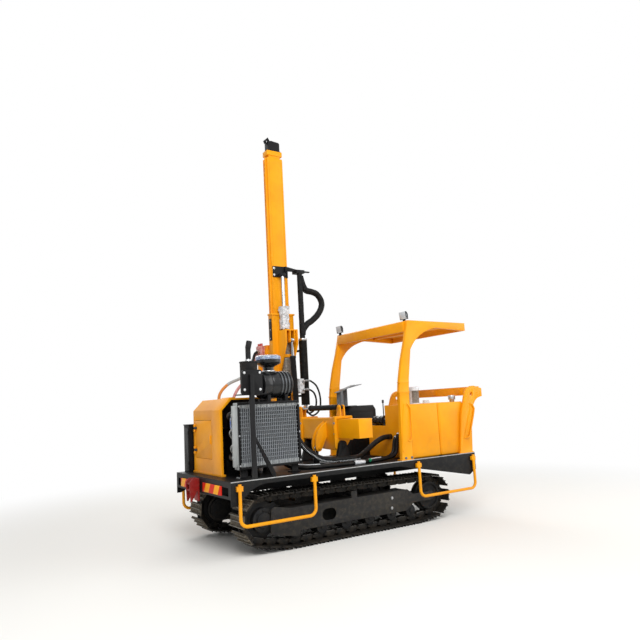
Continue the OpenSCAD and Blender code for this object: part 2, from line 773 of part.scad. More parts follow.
module filter_post() {
    placed("black") {
        slab([post_x - 22, post_x + 22], [post_y - 12, post_y + 33], [deck_top, post_top]);
        slab([post_x - 60, post_x + 60], [post_y - 16, post_y + 60], [deck_top, deck_top + 10]);
        upright([post_y - 8, post_y + 8], [[post_x + 22, deck_top + 380],
            [post_x + 22, deck_top + 435], [post_x + 245, deck_top + 40],
            [post_x + 245, deck_top], [post_x + 205, deck_top]]);
        round_bar(plate_x, [post_y + 33, post_y + 45], [shelf_low, filter_z + 158], 34);
        slab(plate_x + [5, -5], [post_y + 45, muffler_y + 50], [shelf_low, shelf_low + shelf_t]);
        slab([plate_x[1] - 15, filter_x0], [muffler_y - 90, filter_y + 60],
            [shelf_low, shelf_low + shelf_t]);
        for (x = [plate_x[0] + 40, plate_x[1] - 40]) crosswise([x - 5, x + 5],
            [[post_y + 45, shelf_low + shelf_t], [muffler_y - 105, shelf_low + shelf_t],
             [post_y + 45, filter_z + 60]]);
        for (x = [filter_x0 + 90, filter_x0 + filter_len - 90]) difference() {
            slab([x - 20, x + 20], [filter_y - 100, filter_y + 100],
                [rad_z + rad_h, filter_z - 60]);
            rod_x([x - 30, x + 30], filter_y, filter_z, filter_r + seat_gap);
        }
    }
}

module air_filter() {
    placed("black") translate([filter_x0, filter_y, filter_z]) rotate([0, 90, 0])
        rotate_extrude() polygon([[0, 0], [filter_r - 30, 0], [filter_r - 14, 14],
            [filter_r, 26], [filter_r, 120], [filter_r - 6, 126], [filter_r - 6, 150],
            [filter_r, 156], [filter_r, 236], [filter_r - 8, 244], [filter_r - 8, 262],
            [filter_r, 270], [filter_r, 300], [filter_r - 10, 310], [filter_r - 10, 330],
            [filter_r - 2, 338], [filter_r - 2, filter_len - 20], [filter_r - 24, filter_len],
            [0, filter_len]]);
}

bowl_x = -955;
bowl_r = 145;

module precleaner() {
    placed("black") translate([bowl_x, filter_y, filter_z]) {
        difference() {
            rotate_extrude() polygon([[0, filter_r * 0.8], [62, filter_r * 0.8], [62, 198],
                [80, 211], [bowl_r - 12, 235], [bowl_r, 245], [bowl_r, 313],
                [bowl_r - 18, 333], [0, 339]]);
            rotate([0, 90, 0]) translate([0, 0, -200])
                cylinder(r = filter_r + seat_gap, h = 400);
        }
    }
}

muffler_x = -1258;
muffler_y = -610;
muffler_low = shelf_low + shelf_t;

module exhaust() {
    placed("black") translate([muffler_x, muffler_y, 0]) {
        rotate_extrude() polygon([[0, muffler_low], [80, muffler_low],
            [96, muffler_low + 13], [96, muffler_low + 338], [102, muffler_low + 342],
            [102, muffler_low + 355], [exhaust_d / 2 + 8, muffler_low + 358],
            [exhaust_d / 2 + 8, muffler_low + 378], [exhaust_d / 2, muffler_low + 380],
            [exhaust_d / 2, muffler_low + 508], [0, muffler_low + 508]]);
        translate([0, 0, muffler_low + 503]) rotate([0, 14, 0]) difference() {
            cylinder(r = exhaust_d / 2 + 3, h = 80);
            translate([0, 0, 20]) cylinder(r = exhaust_d / 2 - 3, h = 80);
        }
    }
}

tank_x = 880;
tank_split = 0.523;
tank_y = [-half_w + 42, -255];
low_far = 120;
low_top = 1192;
tank_corner = 18;

module tank_box(x, y, z) {
    translate([0, 0, z[0]]) linear_extrude(z[1] - z[0]) polygon([
        [x[0] + tank_corner, y[0]], [x[1] - tank_corner, y[0]], [x[1], y[0] + tank_corner],
        [x[1], y[1] - tank_corner], [x[1] - tank_corner, y[1]], [x[0] + tank_corner, y[1]],
        [x[0], y[1] - tank_corner], [x[0], y[0] + tank_corner]]);
}

tank_mid = tank_x + tank_len * tank_split;
tank_base = deck_top + 14;
cap_y = -620;
lever_y = tank_y[1] + 36;

// Each tank is tall at the near side and low beside the operator
module tank(x) {
    tank_box(x, tank_y, [tank_base, tank_top]);
    tank_box(x, [tank_y[1] - 60, low_far], [tank_base, low_top]);
    slab(x + [30, -30], [tank_y[0] + 20, low_far - 20], [deck_top, tank_base]);
}

module hydraulic_tank() {
    placed("orange") tank([tank_x, tank_mid - 4]);
}

module fuel_tank() {
    placed("orange") tank([tank_mid + 4, tank_x + tank_len]);
}

module tank_fittings() {
    placed("silver") {
        rod_z(tank_x + 227, cap_y, [tank_top, tank_top + 204], 62);
        rod_z(tank_x + 227, cap_y, [tank_top + 170, tank_top + 219], 70);
        rod_z(tank_x + 227, cap_y, [tank_top, tank_top + 12], 78);
        rod_z(tank_mid - 74, cap_y, [tank_top, tank_top + 10], 52);
        rod_z(tank_mid - 74, cap_y, [tank_top + 10, tank_top + 42], 44);
        rod_z(tank_x + tank_len - 60, cap_y, [tank_top, tank_top + 30], 34);
        rod_z(tank_x + tank_len - 60, cap_y, [tank_top + 30, tank_top + 88], 48);
        rod_z(tank_mid - 74, tank_y[1] - 75, [tank_top, tank_top + 60], 36);
        rod_z(tank_x + 22, lever_y, [low_top, low_top + 14], 20);
        rod_z(tank_x + 22, lever_y, [low_top, low_top + 306], 7);
        rod_z(tank_x + 22, lever_y, [low_top + 300, low_top + 340], 14);
    }
}

// Canopy: outlines in [x, z]
post_split = 1612;
post_low = [[688, deck_top], [857, deck_top], [872, post_split], [714, post_split]];
roof_x = 930;
roof_drop = 10;
roof_edge = 106;
roof_end = roof_x + roof_len;
hoop_outline = concat(
    [[714, post_split + 6], [872, post_split + 6], [886, 1780], [948, 2150]],
    [for (k = [1 : 8])
        let (t = k / 8, a = [948, 2150], b = [1085, 2385], c = [1412, canopy_top - 85])
        (1 - t) * (1 - t) * a + 2 * t * (1 - t) * b + t * t * c],
    [[roof_end, canopy_top - roof_drop - roof_edge], [roof_end, canopy_top - roof_drop],
     [roof_x, canopy_top], [860, 2244], [789, 2015], [738, 1790]]);
post_at = half_w - post_w - 4;
hoop_t = 46;
hoop_in = post_at + (post_w - hoop_t) / 2;
roof_y = [-1, 1] * (hoop_in - seat_gap);

// Raised plates on the near posts as [x, z], by hand
front_plate = [[714, 1177], [761, 1454], [772, 1470], [788, 1477], [808, 1468], [834, 1438],
    [850, 1405], [859, 1363], [829, 1057], [806, 1024], [776, 1012], [742, 950], [722, 884],
    [702, 884], [698, 900]];
rear_plate = [[75, 195], [234, 555], [240, 600], [246, 632], [262, 636], [298, 605], [308, 570],
    [309, 538], [194, 239], [170, 201], [93, 187]];
plate_t = 8;

module canopy_posts() {
    placed("orange") {
        upright([-post_at - post_w - plate_t, -post_at - post_w], front_plate);
        both_sides() canopy_post();
    }
}

module canopy_post() {
    upright([-post_at - post_w, -post_at], post_low);
    slab([674, 874], [-post_at - post_w - 3, -post_at + 30], [deck_top, deck_top + 12]);
    splice([post_split - 8, post_split]);
}

module splice(z) {
    slab([708, 879], [-post_at - post_w - 2, -post_at + 6], z);
}

module canopy_hoops() {
    placed("orange") both_sides() {
        upright([-hoop_in - hoop_t, -hoop_in], hoop_outline);
        splice([post_split, post_split + 8]);
        slab([722, 884], [-post_at - post_w, -post_at], [1731, 1739]);
    }
}

module canopy_roof() {
    slope = roof_drop / (roof_end - roof_x);
    placed("orange") {
        upright(roof_y, [
            [roof_x + 4, canopy_top - 30], [roof_end - 20, canopy_top - roof_drop - 30],
            [roof_end - 20, canopy_top - roof_drop - 2], [roof_x + 4, canopy_top - 2]]);
        upright(roof_y, [[roof_x - 40, canopy_top - 145],
            [roof_x + 4, canopy_top - 145], [roof_x + 4, canopy_top - 2],
            [roof_x - 40, canopy_top - 18]]);
        upright(roof_y, [
            [roof_end - 20, canopy_top - roof_drop - roof_edge],
            [roof_end, canopy_top - roof_drop - roof_edge],
            [roof_end, canopy_top - roof_drop], [roof_end - 20, canopy_top - roof_drop - 2]]);
        for (x = [1250, 1600]) slab([x - 20, x + 20], roof_y,
            [canopy_top - slope * (x - roof_x) - 60, canopy_top - slope * (x - roof_x) - 28]);
    }
}

rear_x = 1690;
rear_reach = 495;
// A rear post's outline as [along, up] from its lower front corner
rear_shape = [[0, 0], [223, 0], [260, 470], [280, 545], [320, 631], [355, 678], [400, 710],
    [445, 724], [rear_reach, 733], [rear_reach, 842], [420, 862], [350, 880], [300, 878],
    [250, 865], [215, 845], [190, 820], [160, 755], [135, 679], [75, 519]];
rear_t = 32;
rail_at = [370, 482];

function on_rear(shape) = [for (p = shape) [rear_x + p[0], deck_top + p[1]]];

module rear_posts() {
    placed("orange") {
        upright([-half_w + 6 - plate_t, -half_w + 6], on_rear(rear_plate));
        both_sides() {
            difference() {
                upright([-half_w + 6, -half_w + 6 + rear_t], on_rear(rear_shape));
                rod_y(rear_x + 290, [-half_w, -half_w + 50], deck_top + 770, 26);
            }
            slab([rear_x - 15, rear_x + 238], [-half_w, -half_w + rear_t + 6],
                [deck_top, deck_top + 12]);
        }
        slab(rear_x * [1, 1] + rail_at, [-half_w + 6 + rear_t, half_w - 6 - rear_t],
            deck_top * [1, 1] + [755, 870]);
        for (y = [-500, 0, 500]) slab([rear_x + rail_at[0] - 8, rear_x + rail_at[0]],
            [y - 45, y + 45], [deck_top + 775, deck_top + 850]);
    }
}

lamp_size = [26, 124, 88];
function roof_at(x) = x > roof_x + 4
    ? canopy_top - 2 - (x - roof_x - 4) * roof_drop / (roof_end - roof_x - 24)
    : canopy_top - 18 + (x - roof_x + 40) * 16 / 44;
// Lamps as [x, y] on the canopy's edge
lamp_spots = [[970, -690], [908, 690]];

module work_lamps() {
    placed("black") for (p = lamp_spots) {
        base = canopy_top + 24;
        upright([p[1] - 16, p[1] + 16], [[p[0] - 14, roof_at(p[0] - 14)],
            [p[0] + 14, roof_at(p[0] + 14)], [p[0] + 12, base + 1], [p[0] - 12, base + 1]]);
        translate([p[0], p[1], base]) lamp();
    }
}

// Lamp facing the engine end: body with cooling fins in a forked bracket
module lamp() {
    w = lamp_size[1] / 2;
    h = lamp_size[2];
    slab([-12, 12], [-w - 8, w + 8], [0, 6]);
    for (s = [-1, 1]) {
        slab([-9, 9], [s * (w + 5) - 3, s * (w + 5) + 3], [0, h / 2 + 26]);
        rod_y(0, [s * (w + 2) - 7, s * (w + 2) + 7], h / 2 + 14, 8);
    }
    translate([0, 0, h / 2 + 14]) rotate([0, -8, 0]) {
        slab([-lamp_size[0], 0], [-w, w], [-h / 2, h / 2]);
        slab([-1, 12], [-w + 12, w - 12], [-h / 2 + 10, h / 2 - 10]);
        for (k = [-3 : 3]) slab([10, 26], [k * 14 - 2, k * 14 + 2], [-h / 2 + 12, h / 2 - 12]);
    }
}

box_x = [750, 1216];
box_y = [350, 690];
box_top = 1470;

// Box of the operator's controls, its upper edges cut back
module control_box() {
    placed("black") {
        upright(box_y, [[box_x[0], deck_top], [box_x[1], deck_top], [box_x[1], box_top - 60],
            [box_x[1] - 41, box_top], [box_x[0] + 70, box_top], [box_x[0], box_top - 70]]);
        slab([box_x[0] - 6, box_x[0]], box_y + [30, -30], [deck_top + 60, box_top - 90]);
        slab(box_x + [60, -60], [box_y[0] - 6, box_y[0]], [deck_top + 80, box_top - 100]);
    }
}

rack_y = [425, 675];
bar_r = 7;
bars = 5;
// Sloping plates of the rack as [x0, z0, x1, z1]
rack_plates = [[640, 1672, 930, 1770], [820, 1716, 1150, 1782]];
rack_bars = [680, 880];

module lever_rack() {
    placed("lightgray") {
        slab([rack_bars[0] - 30, rack_bars[1] + 60], rack_y, [box_top, box_top + 8]);
        for (p = [0, 1]) let (q = rack_plates[p]) upright(
            p == 0 ? [rack_y[0], rack_y[0] + 115] : [rack_y[1] - 115, rack_y[1]],
            [[q[0], q[1]], [q[2], q[3]], [q[2], q[3] - 7], [q[0], q[1] - 7]]);
        for (p = [0, 1], k = [0 : bars - 1])
            let (q = rack_plates[p], x = rack_bars[p],
                y = (p == 0 ? rack_y[0] + 12 : rack_y[1] - 103) + k * 23)
            rod_z(x, y, [box_top, q[1] + (q[3] - q[1]) * (x - q[0]) / (q[2] - q[0]) - 3],
                bar_r);
        for (p = [0, 1])
            let (q = rack_plates[p], y = p == 0 ? rack_y[0] : rack_y[1] - 6)
            upright([y, y + 6], [[rack_bars[p] - 8, box_top], [rack_bars[p] + 40, box_top],
                [rack_bars[p] + 30, q[1] + (q[3] - q[1]) * 0.2], [rack_bars[p] - 4, q[1]]]);
    }
}

canister_x = 940;
canister_z = low_top + 70;
canister_y = [tank_y[1] + 55, tank_y[1] + 295];
canister_r = 55;

module return_filter() {
    placed("silver") {
        rod_y(canister_x, canister_y + [30, -20], canister_z, canister_r);
        rod_y(canister_x, [canister_y[0], canister_y[0] + 30], canister_z, canister_r + 8);
        rod_y(canister_x, [tank_y[1] + seat_gap, canister_y[0] + 1], canister_z, 26);
        rod_y(canister_x, [canister_y[1] - 20, canister_y[1]], canister_z, canister_r - 14);
        rod_y(canister_x, [canister_y[1], canister_y[1] + 22], canister_z, 22);
        for (y = [canister_y[0] + 75, canister_y[1] - 65]) {
            rod_y(canister_x, [y - 14, y + 14], canister_z, canister_r + 4);
            slab([canister_x - 34, canister_x + 34], [y - 14, y + 14],
                [low_top, canister_z - 30]);
        }
    }
}

// Suction hose from the tank's wall, down along the deck and up to the engine's pump
suction_d = 66;
suction_way = [[tank_x - 0.2, -368, 1052], [858, -368, 1052], [836, -368, 1052],
    [790, -366, 1052], [740, -363, 1043], [685, -360, 1023], [607, -358, 986],
    [526, -360, 937], [446, -370, 895], [391, -385, 871], [330, -412, 855],
    [234, -465, 850], [120, -490, 850], [0, -480, 850], [-127, -445, 852], [-268, -420, 885],
    [-403, -420, 967], [-482, -415, 1031], [-535, -405, 1112], [-560, -350, 1178],
    [-566, -270, 1208], [-578, -180, 1210], [-604, pump_y - 22, pump_z + 4],
    [-640, pump_y, pump_z], [-660, pump_y, pump_z], [-680, pump_y, pump_z],
    [pump_end + 0.2, pump_y, pump_z]];

module suction_line() {
    placed("black") {
        hose(suction_way, suction_d, 3, 10);
        for (p = [[234, -465], [-60, -466]]) slab([p[0] - 22, p[0] + 22],
            [p[1] - 48, p[1] + 48], [deck_top, deck_top + 52]);
    }
}

// Hoses on the deck as lists of points, from the engine to the tank's wall
deck_hose_d = 42;
deck_ways = [
    [[engine_x + 190.2, 60, 1040], [-762, 60, 1040], [-744, 60, 1040],
     [-670, 35, 1000], [-610, -50, 900], [-560, -190, 825], [-490, -350, 804],
     [-370, -480, 802], [-100, -547, 802],
     [200, -567, 802], [344, -557, 802], [520, -537, 805], [684, -510, 815],
     [765, -500, 845], [800, -500, 905], [812, -500, 975], [826, -500, 1022],
     [846, -500, 1046], [858, -500, 1050], [869, -500, 1050], [tank_x - 0.2, -500, 1050]],
    [[engine_x + 190.2, -20, 990], [-762, -20, 990], [-744, -20, 990],
     [-696, -60, 950], [-655, -160, 870], [-610, -290, 810], [-550, -440, 802],
     [-400, -562, 802], [-100, -607, 802],
     [200, -619, 802], [344, -610, 802], [520, -590, 805], [690, -562, 815],
     [775, -554, 845], [806, -554, 905], [818, -554, 985], [828, -554, 1056],
     [846, -554, 1085], [858, -554, 1090], [869, -554, 1090], [tank_x - 0.2, -554, 1090]],
    [[canister_x, canister_y[1] + 22.2, canister_z], [canister_x, canister_y[1] + 32, canister_z],
     [canister_x, canister_y[1] + 42, canister_z], [canister_x - 10, 104, canister_z],
     [902, 116, canister_z - 10], [862, 106, 1226], [834, 92, 1184], [824, 78, 1140],
     [834, 70, 1108], [850, 70, 1098], [860, 70, 1098], [870, 70, 1098],
     [tank_x - 0.2, 70, 1098]]];

module deck_hoses() {
    placed("black") for (k = [0 : 2]) hose(deck_ways[k], k < 2 ? deck_hose_d : 34);
}

// Pedestals under the sleeve, as distances in Y
pedestal_ys = [-330, 480];
pedestal_t = 44;
pedestal_r = 58;
lean_x = 144;
ear_gap = 6;
ear_t = 26;

module pedestal(y) {
    difference() {
        union() {
            upright([y, y + pedestal_t], concat(
                [[lean_x - 120, deck_top], [lean_x + 120, deck_top],
                 [lean_x + 110, deck_top + 40]],
                arc_points([lean_x, lean_z], pedestal_r, 0, 180, 12),
                [[lean_x - 110, deck_top + 40]]));
            slab([lean_x - 160, lean_x + 160], [y - 40, y + pedestal_t + 40],
                [deck_top, deck_top + 14]);
        }
        rod_y(lean_x, [y - 10, y + pedestal_t + 10], lean_z, lean_pin / 2);
    }
}

module lean_axle(y) {
    rod_y(lean_x, [y - 8, y + pedestal_t + ear_gap + ear_t + 8], lean_z, lean_pin / 2);
}

module pedestals() {
    placed("black") for (y = pedestal_ys) {
        pedestal(y);
        lean_axle(y);
    }
}

// Sleeve around the arm
sleeve_wall = 14;
sleeve_in = [arm_w + 2 * arm_gap, arm_h + 2 * arm_gap];
sleeve_out = sleeve_in + [2, 2] * sleeve_wall;
sleeve_y = [-280, -280 + sleeve_len];
flange_over = 18;
flange_t = 46;
lean_y = -30;
clevis_x = -55;
clevis_z = 976;
clevis_gap = 60;
clevis_t = 22;
clevis_pin = 36;
slide_z = 1468;
cheek_t = 18;
// Cheek plate on the sleeve's side over the near pedestal, as [y, z]
cheek_shape = [[-279, 1300], [-95, 1292], [52, 1072], [56, 1000], [48, 970], [22, 952],
    [-240, 942], [-268, 950], [-279, 972]];

module sleeve_tube(y, grow) {
    round_bar([arm_x - sleeve_out[0] / 2 - grow, arm_x + sleeve_out[0] / 2 + grow], y,
        [arm_z - sleeve_out[1] / 2 - grow, arm_z + sleeve_out[1] / 2 + grow],
        sleeve_wall + grow / 2);
}

module slide_sleeve() {
    left = arm_x - sleeve_out[0] / 2;
    right = arm_x + sleeve_out[0] / 2;
    low = arm_z - sleeve_out[1] / 2;
    top = arm_z + sleeve_out[1] / 2;
    placed("orange") {
        difference() {
            union() {
                sleeve_tube(sleeve_y, 0);
                sleeve_tube([sleeve_y[0], sleeve_y[0] + flange_t], flange_over);
                sleeve_tube([sleeve_y[1] - flange_t, sleeve_y[1]], flange_over);
                for (y = pedestal_ys) lean_ear(y + pedestal_t + ear_gap, left, right, low);
                for (s = [-1, 1]) lean_clevis(s, left, low);
                crosswise([left - cheek_t, left + 1], cheek_shape);
                for (s = [-1, 1]) slide_lug(s, sleeve_y[0] + 50, top);
            }
            slab([arm_x - sleeve_in[0] / 2, arm_x + sleeve_in[0] / 2],
                sleeve_y + [-1, 1], [arm_z - sleeve_in[1] / 2, arm_z + sleeve_in[1] / 2]);
            for (y = pedestal_ys) rod_y(lean_x, [y + pedestal_t, y + pedestal_t + 60], lean_z,
                lean_pin / 2 + seat_gap);
        }
    }
}

module lean_ear(y, left, right, low) {
    upright([y, y + ear_t], concat(
        [[left - 30, low + 190], [left - 30, low + 40]],
        arc_points([lean_x - 30, lean_z], 62, 200, 270, 5),
        arc_points([lean_x + 30, lean_z], 62, 270, 340, 5),
        [[right, low + 40]]));
}

module lean_clevis(s, left, low) {
    y = lean_y + s * (clevis_gap + clevis_t) / 2;
    difference() {
        upright([y - clevis_t / 2, y + clevis_t / 2], concat(
            [[left + 2, low + 230]],
            [for (k = [1 : 5]) let (t = k / 6)
                (1 - t) * (1 - t) * [left, low + 230]
                + 2 * t * (1 - t) * [clevis_x - 70, low + 130]
                + t * t * [clevis_x - 46, clevis_z]],
            arc_points([clevis_x, clevis_z], 46, 180, 330, 8), [[left + 2, low + 70]]));
        rod_y(clevis_x, [y - clevis_t, y + clevis_t], clevis_z, clevis_pin / 2);
    }
    if (s > 0) rod_y(clevis_x, [lean_y - clevis_gap / 2 - clevis_t - 10,
        lean_y + clevis_gap / 2 + clevis_t + 10], clevis_z, clevis_pin / 2);
}

lug_t = 16;
lug_gap = 44;
eye_gap = 3;
slide_neck = 70;

module slide_lug(s, y, z) {
    difference() {
        crosswise([arm_x + s * (lug_gap + lug_t) / 2 - lug_t / 2,
                arm_x + s * (lug_gap + lug_t) / 2 + lug_t / 2],
            concat([[y + 62, z - 1], [y - 42, z - 1]],
                arc_points([y, slide_z], 32, 170, 10, 8)));
        rod_x([arm_x - 80, arm_x + 80], y, slide_z, 13);
    }
    if (s > 0) rod_x([arm_x - lug_gap / 2 - lug_t - 8, arm_x + lug_gap / 2 + lug_t + 8], y,
        slide_z, 13);
}

slide_stroke = 450;
slide_y0 = sleeve_y[0] + 50;
slide_far = 715;
slide_barrel_end = 500;

module slide_cylinder_barrel() {
    placed("black") {
        difference() {
            union() {
                rod_y(arm_x, [slide_y0 + slide_neck, slide_barrel_end], slide_z, slide_d / 2);
                rod_y(arm_x, [slide_barrel_end - 40, slide_barrel_end], slide_z,
                    slide_d / 2 + 6);
                slab([arm_x - lug_gap / 2 + eye_gap, arm_x + lug_gap / 2 - eye_gap],
                    [slide_y0, slide_y0 + slide_neck + 1], [slide_z - 24, slide_z + 24]);
                rod_x([arm_x - lug_gap / 2 + eye_gap, arm_x + lug_gap / 2 - eye_gap],
                    slide_y0, slide_z, 24);
            }
            rod_x([arm_x - 40, arm_x + 40], slide_y0, slide_z, 13 + seat_gap);
            rod_y(arm_x, [slide_barrel_end - 480, slide_barrel_end + 1], slide_z,
                slide_rod / 2 + seat_gap);
        }
    }
}

slide_rod = 36;

module slide_cylinder_rod() {
    placed("silver") {
        difference() {
            union() {
                rod_y(arm_x, [slide_barrel_end - 470, slide_far - 20], slide_z,
                    slide_rod / 2);
                rod_x([arm_x - lug_gap / 2 + eye_gap, arm_x + lug_gap / 2 - eye_gap],
                    slide_far, slide_z, 26);
            }
            rod_x([arm_x - 40, arm_x + 40], slide_far, slide_z, 13 + seat_gap);
        }
    }
}

// Arm: square tube with a head at its far end that carries the mast
arm_far = 905;
head_t = 30;
head_gap = 190;
head_y = tilt_y;
tilt_low = [845, 1420];
tilt_high = [904, 2464];
tilt_x = 190;

module slide_arm() {
    low = arm_z - arm_h / 2;
    top = arm_z + arm_h / 2;
    placed("orange") {
        difference() {
            slab([arm_x - arm_w / 2, arm_x + arm_w / 2], [-arm_near, arm_far], [low, top]);
            slab([arm_x - arm_w / 2 + arm_wall, arm_x + arm_w / 2 - arm_wall],
                [-arm_near + 10, arm_far - 20], [low + arm_wall, top - arm_wall]);
        }
        slab([arm_x - arm_w / 2, arm_x + arm_w / 2], [-arm_near, -arm_near + 10], [low, top]);
        for (s = [-1, 1]) arm_cheek(s);
        for (s = [-1, 1]) slide_lug_high(s);
        for (s = [-1, 1]) tilt_lug(s, top);
    }
}

module arm_cheek(s) {
    x = arm_x + s * (arm_w / 2 + head_t / 2);
    difference() {
        crosswise([x - head_t / 2, x + head_t / 2], concat(
            [[sleeve_y[1] + 90, arm_z - arm_h / 2], [sleeve_y[1] + 90, arm_z + arm_h / 2],
             [tilt_y - 60, arm_z + arm_h / 2 + 20]],
            arc_points([tilt_y, arm_z], 70, 60, -90, 10),
            [[tilt_y - 80, arm_z - arm_h / 2]]));
        rod_x([x - 40, x + 40], tilt_y, arm_z, tilt_pin / 2);
    }
    if (s > 0) rod_x([arm_x - arm_w / 2 - head_t - 12, arm_x + arm_w / 2 + head_t + 12],
        tilt_y, arm_z, tilt_pin / 2);
}

module slide_lug_high(s) {
    x = arm_x + s * (lug_gap + lug_t) / 2;
    top = arm_z + arm_h / 2;
    difference() {
        crosswise([x - lug_t / 2, x + lug_t / 2], concat(
            [[slide_far + 75, top - 1], [slide_far - 45, top - 1]],
            arc_points([slide_far, slide_z], 34, 170, 10, 8)));
        rod_x([x - 40, x + 40], slide_far, slide_z, 13);
    }
    if (s > 0) rod_x([arm_x - lug_gap / 2 - lug_t - 8, arm_x + lug_gap / 2 + lug_t + 8],
        slide_far, slide_z, 13);
}

tilt_lug_gap = 56;
tilt_lug_t = 18;
tilt_pin_r = 18;

module tilt_lug(s, top) {
    x = tilt_x + s * (tilt_lug_gap + tilt_lug_t) / 2;
    difference() {
        crosswise([x - tilt_lug_t / 2, x + tilt_lug_t / 2], concat(
            [[tilt_low[0] + 60, top - 1], [tilt_low[0] - 40, top - 1]],
            arc_points(tilt_low, 36, 180, 0, 10)));
        rod_x([x - 40, x + 40], tilt_low[0], tilt_low[1], tilt_pin_r);
    }
    if (s > 0) rod_x([tilt_x - tilt_lug_gap / 2 - tilt_lug_t - 6,
        tilt_x + tilt_lug_gap / 2 + tilt_lug_t + 6], tilt_low[0], tilt_low[1], tilt_pin_r);
}

bundle_x = 437;
bundle_y = 1000;
bundle_low = 1520;
clamp_z = [2470, 2500];
valve_x = [292, 372];
valve_y = [905, 995];

module valve_block() {
    near = mast_y - guide_gap - wall_t;
    placed("whitesmoke") {
        slab(valve_x, valve_y, [1690, 1895]);
        slab([valve_x[0] + 8, valve_x[0] + 40], [valve_y[1], near], [1720, 1750]);
        slab([valve_x[0] + 8, valve_x[0] + 40], [valve_y[1], near], [1840, 1870]);
        for (z = [1735, 1860]) rod_y(valve_x[0] + 48, [valve_y[0] - 12, valve_y[0]], z, 20);
        for (z = [1780, 1815]) rod_x([valve_x[0] - 14, valve_x[0]], valve_y[0] + 45, z, 15);
    }
}

// Hoses that loop from the valve block round to the lower end of the bundle
valve_ways = [
    [[valve_x[0] + 48, valve_y[0] - 12.2, 1860], [valve_x[0] + 48, valve_y[0] - 19, 1860],
     [valve_x[0] + 48, valve_y[0] - 26, 1860], [356, 864, 1863], [390, 860, 1869],
     [452, 862, 1862], [552, 868, 1789], [612, 880, 1655], [630, 905, 1500],
     [602, 940, 1405], [535, 975, 1362], [476, 995, 1400], [453, bundle_y, 1460],
     [452, bundle_y, 1492], [452, bundle_y, 1506], [452, bundle_y, bundle_low - 0.2]],
    [[valve_x[0] + 48, valve_y[0] - 12.2, 1735], [valve_x[0] + 48, valve_y[0] - 19, 1735],
     [valve_x[0] + 48, valve_y[0] - 26, 1735], [354, 864, 1738], [382, 860, 1743],
     [430, 862, 1737], [505, 870, 1690], [548, 885, 1600],
     [556, 910, 1500], [530, 945, 1428], [478, 975, 1400], [433, 992, 1424],
     [421, bundle_y, 1462], [420, bundle_y, 1492], [420, bundle_y, 1506],
     [420, bundle_y, bundle_low - 0.2]]];

module valve_hoses() {
    placed("black") for (way = valve_ways) hose(way, 26);
}

// A barrel along +Z from its eye at the origin, and its rod
module barrel(d, len, eye_r, pin_r, eye_w, neck) {
    difference() {
        union() {
            rod_x([-eye_w / 2, eye_w / 2], 0, 0, eye_r);
            slab([-eye_w / 2, eye_w / 2], [-eye_r * 0.8, eye_r * 0.8], [0, neck + 1]);
            translate([0, 0, neck]) cylinder(r = d / 2, h = len - neck);
            translate([0, 0, len - 34]) cylinder(r = d / 2 + 5, h = 34);
        }
        rod_x([-eye_w, eye_w], 0, 0, pin_r + seat_gap);
    }
}

module bored_barrel(d, rod_d, bore_from, len, eye_r, pin_r, eye_w, neck) {
    difference() {
        barrel(d, len, eye_r, pin_r, eye_w, neck);
        translate([0, 0, bore_from]) cylinder(r = rod_d / 2 + seat_gap, h = len);
    }
}

module rod(d, from, to, eye_r, bore_r, eye_w) {
    difference() {
        union() {
            translate([0, 0, from]) cylinder(r = d / 2, h = to - from - eye_r * 0.5);
            translate([0, 0, to]) rod_x([-eye_w / 2, eye_w / 2], 0, 0, eye_r);
        }
        translate([0, 0, to]) rod_x([-eye_w, eye_w], 0, 0, bore_r);
    }
}

// Lean cylinder: from the cross frame up to the sleeve's clevis
lean_foot = [-105, 520];
lean_span = [clevis_x - lean_foot[0], clevis_z - lean_foot[1]];
lean_angle = atan2(lean_span[0], lean_span[1]);
lean_length = norm(lean_span);
lean_rod_d = 45;
lean_barrel_len = 330;
lean_slack = 4.4;

module lean_foot_lug(s) {
    y = lean_y + s * (clevis_gap + clevis_t) / 2;
    difference() {
        upright([y - clevis_t / 2, y + clevis_t / 2], concat(
            [[lean_foot[0] + 60, beam_z[1] - 1]],
            arc_points(lean_foot, 40, 0, 180, 10), [[lean_foot[0] - 60, beam_z[1] - 1]]));
        rod_y(lean_foot[0], [y - clevis_t, y + clevis_t], lean_foot[1], clevis_pin / 2);
    }
    if (s > 0) rod_y(lean_foot[0], [lean_y - clevis_gap / 2 - clevis_t - 6,
        lean_y + clevis_gap / 2 + clevis_t + 6], lean_foot[1], clevis_pin / 2);
}

module on_lean() {
    translate([lean_foot[0], lean_y, lean_foot[1]]) rotate([0, lean_angle, 0])
        rotate([0, 0, 90]) children();
}

module lean_cylinder_barrel() {
    placed("black") on_lean() bored_barrel(lean_d, lean_rod_d, 60, lean_barrel_len, 34,
        clevis_pin / 2, clevis_gap - 6, 46);
}

module lean_cylinder_rod() {
    placed("silver") on_lean() rod(lean_rod_d, 120, lean_length, 36,
        clevis_pin / 2 + lean_slack, clevis_gap - 6);
}

// Tilt cylinder: from the arm's head up to the carriage
tilt_span = tilt_high - tilt_low;
tilt_angle = -atan2(tilt_span[0], tilt_span[1]);
tilt_length = norm(tilt_span);
tilt_rod_d = 45;
tilt_barrel_len = 810;
tilt_slack = 5.8;

module on_tilt() {
    translate([tilt_x, tilt_low[0], tilt_low[1]]) rotate([tilt_angle, 0, 0]) children();
}

module tilt_cylinder_barrel() {
    placed("black") on_tilt() bored_barrel(tilt_d, tilt_rod_d, 300, tilt_barrel_len, 34,
        tilt_pin_r, tilt_lug_gap - 6, 42);
}

module tilt_cylinder_rod() {
    placed("silver") on_tilt() rod(tilt_rod_d, 420, tilt_length, 36,
        tilt_pin_r + tilt_slack, tilt_lug_gap - 6);
}

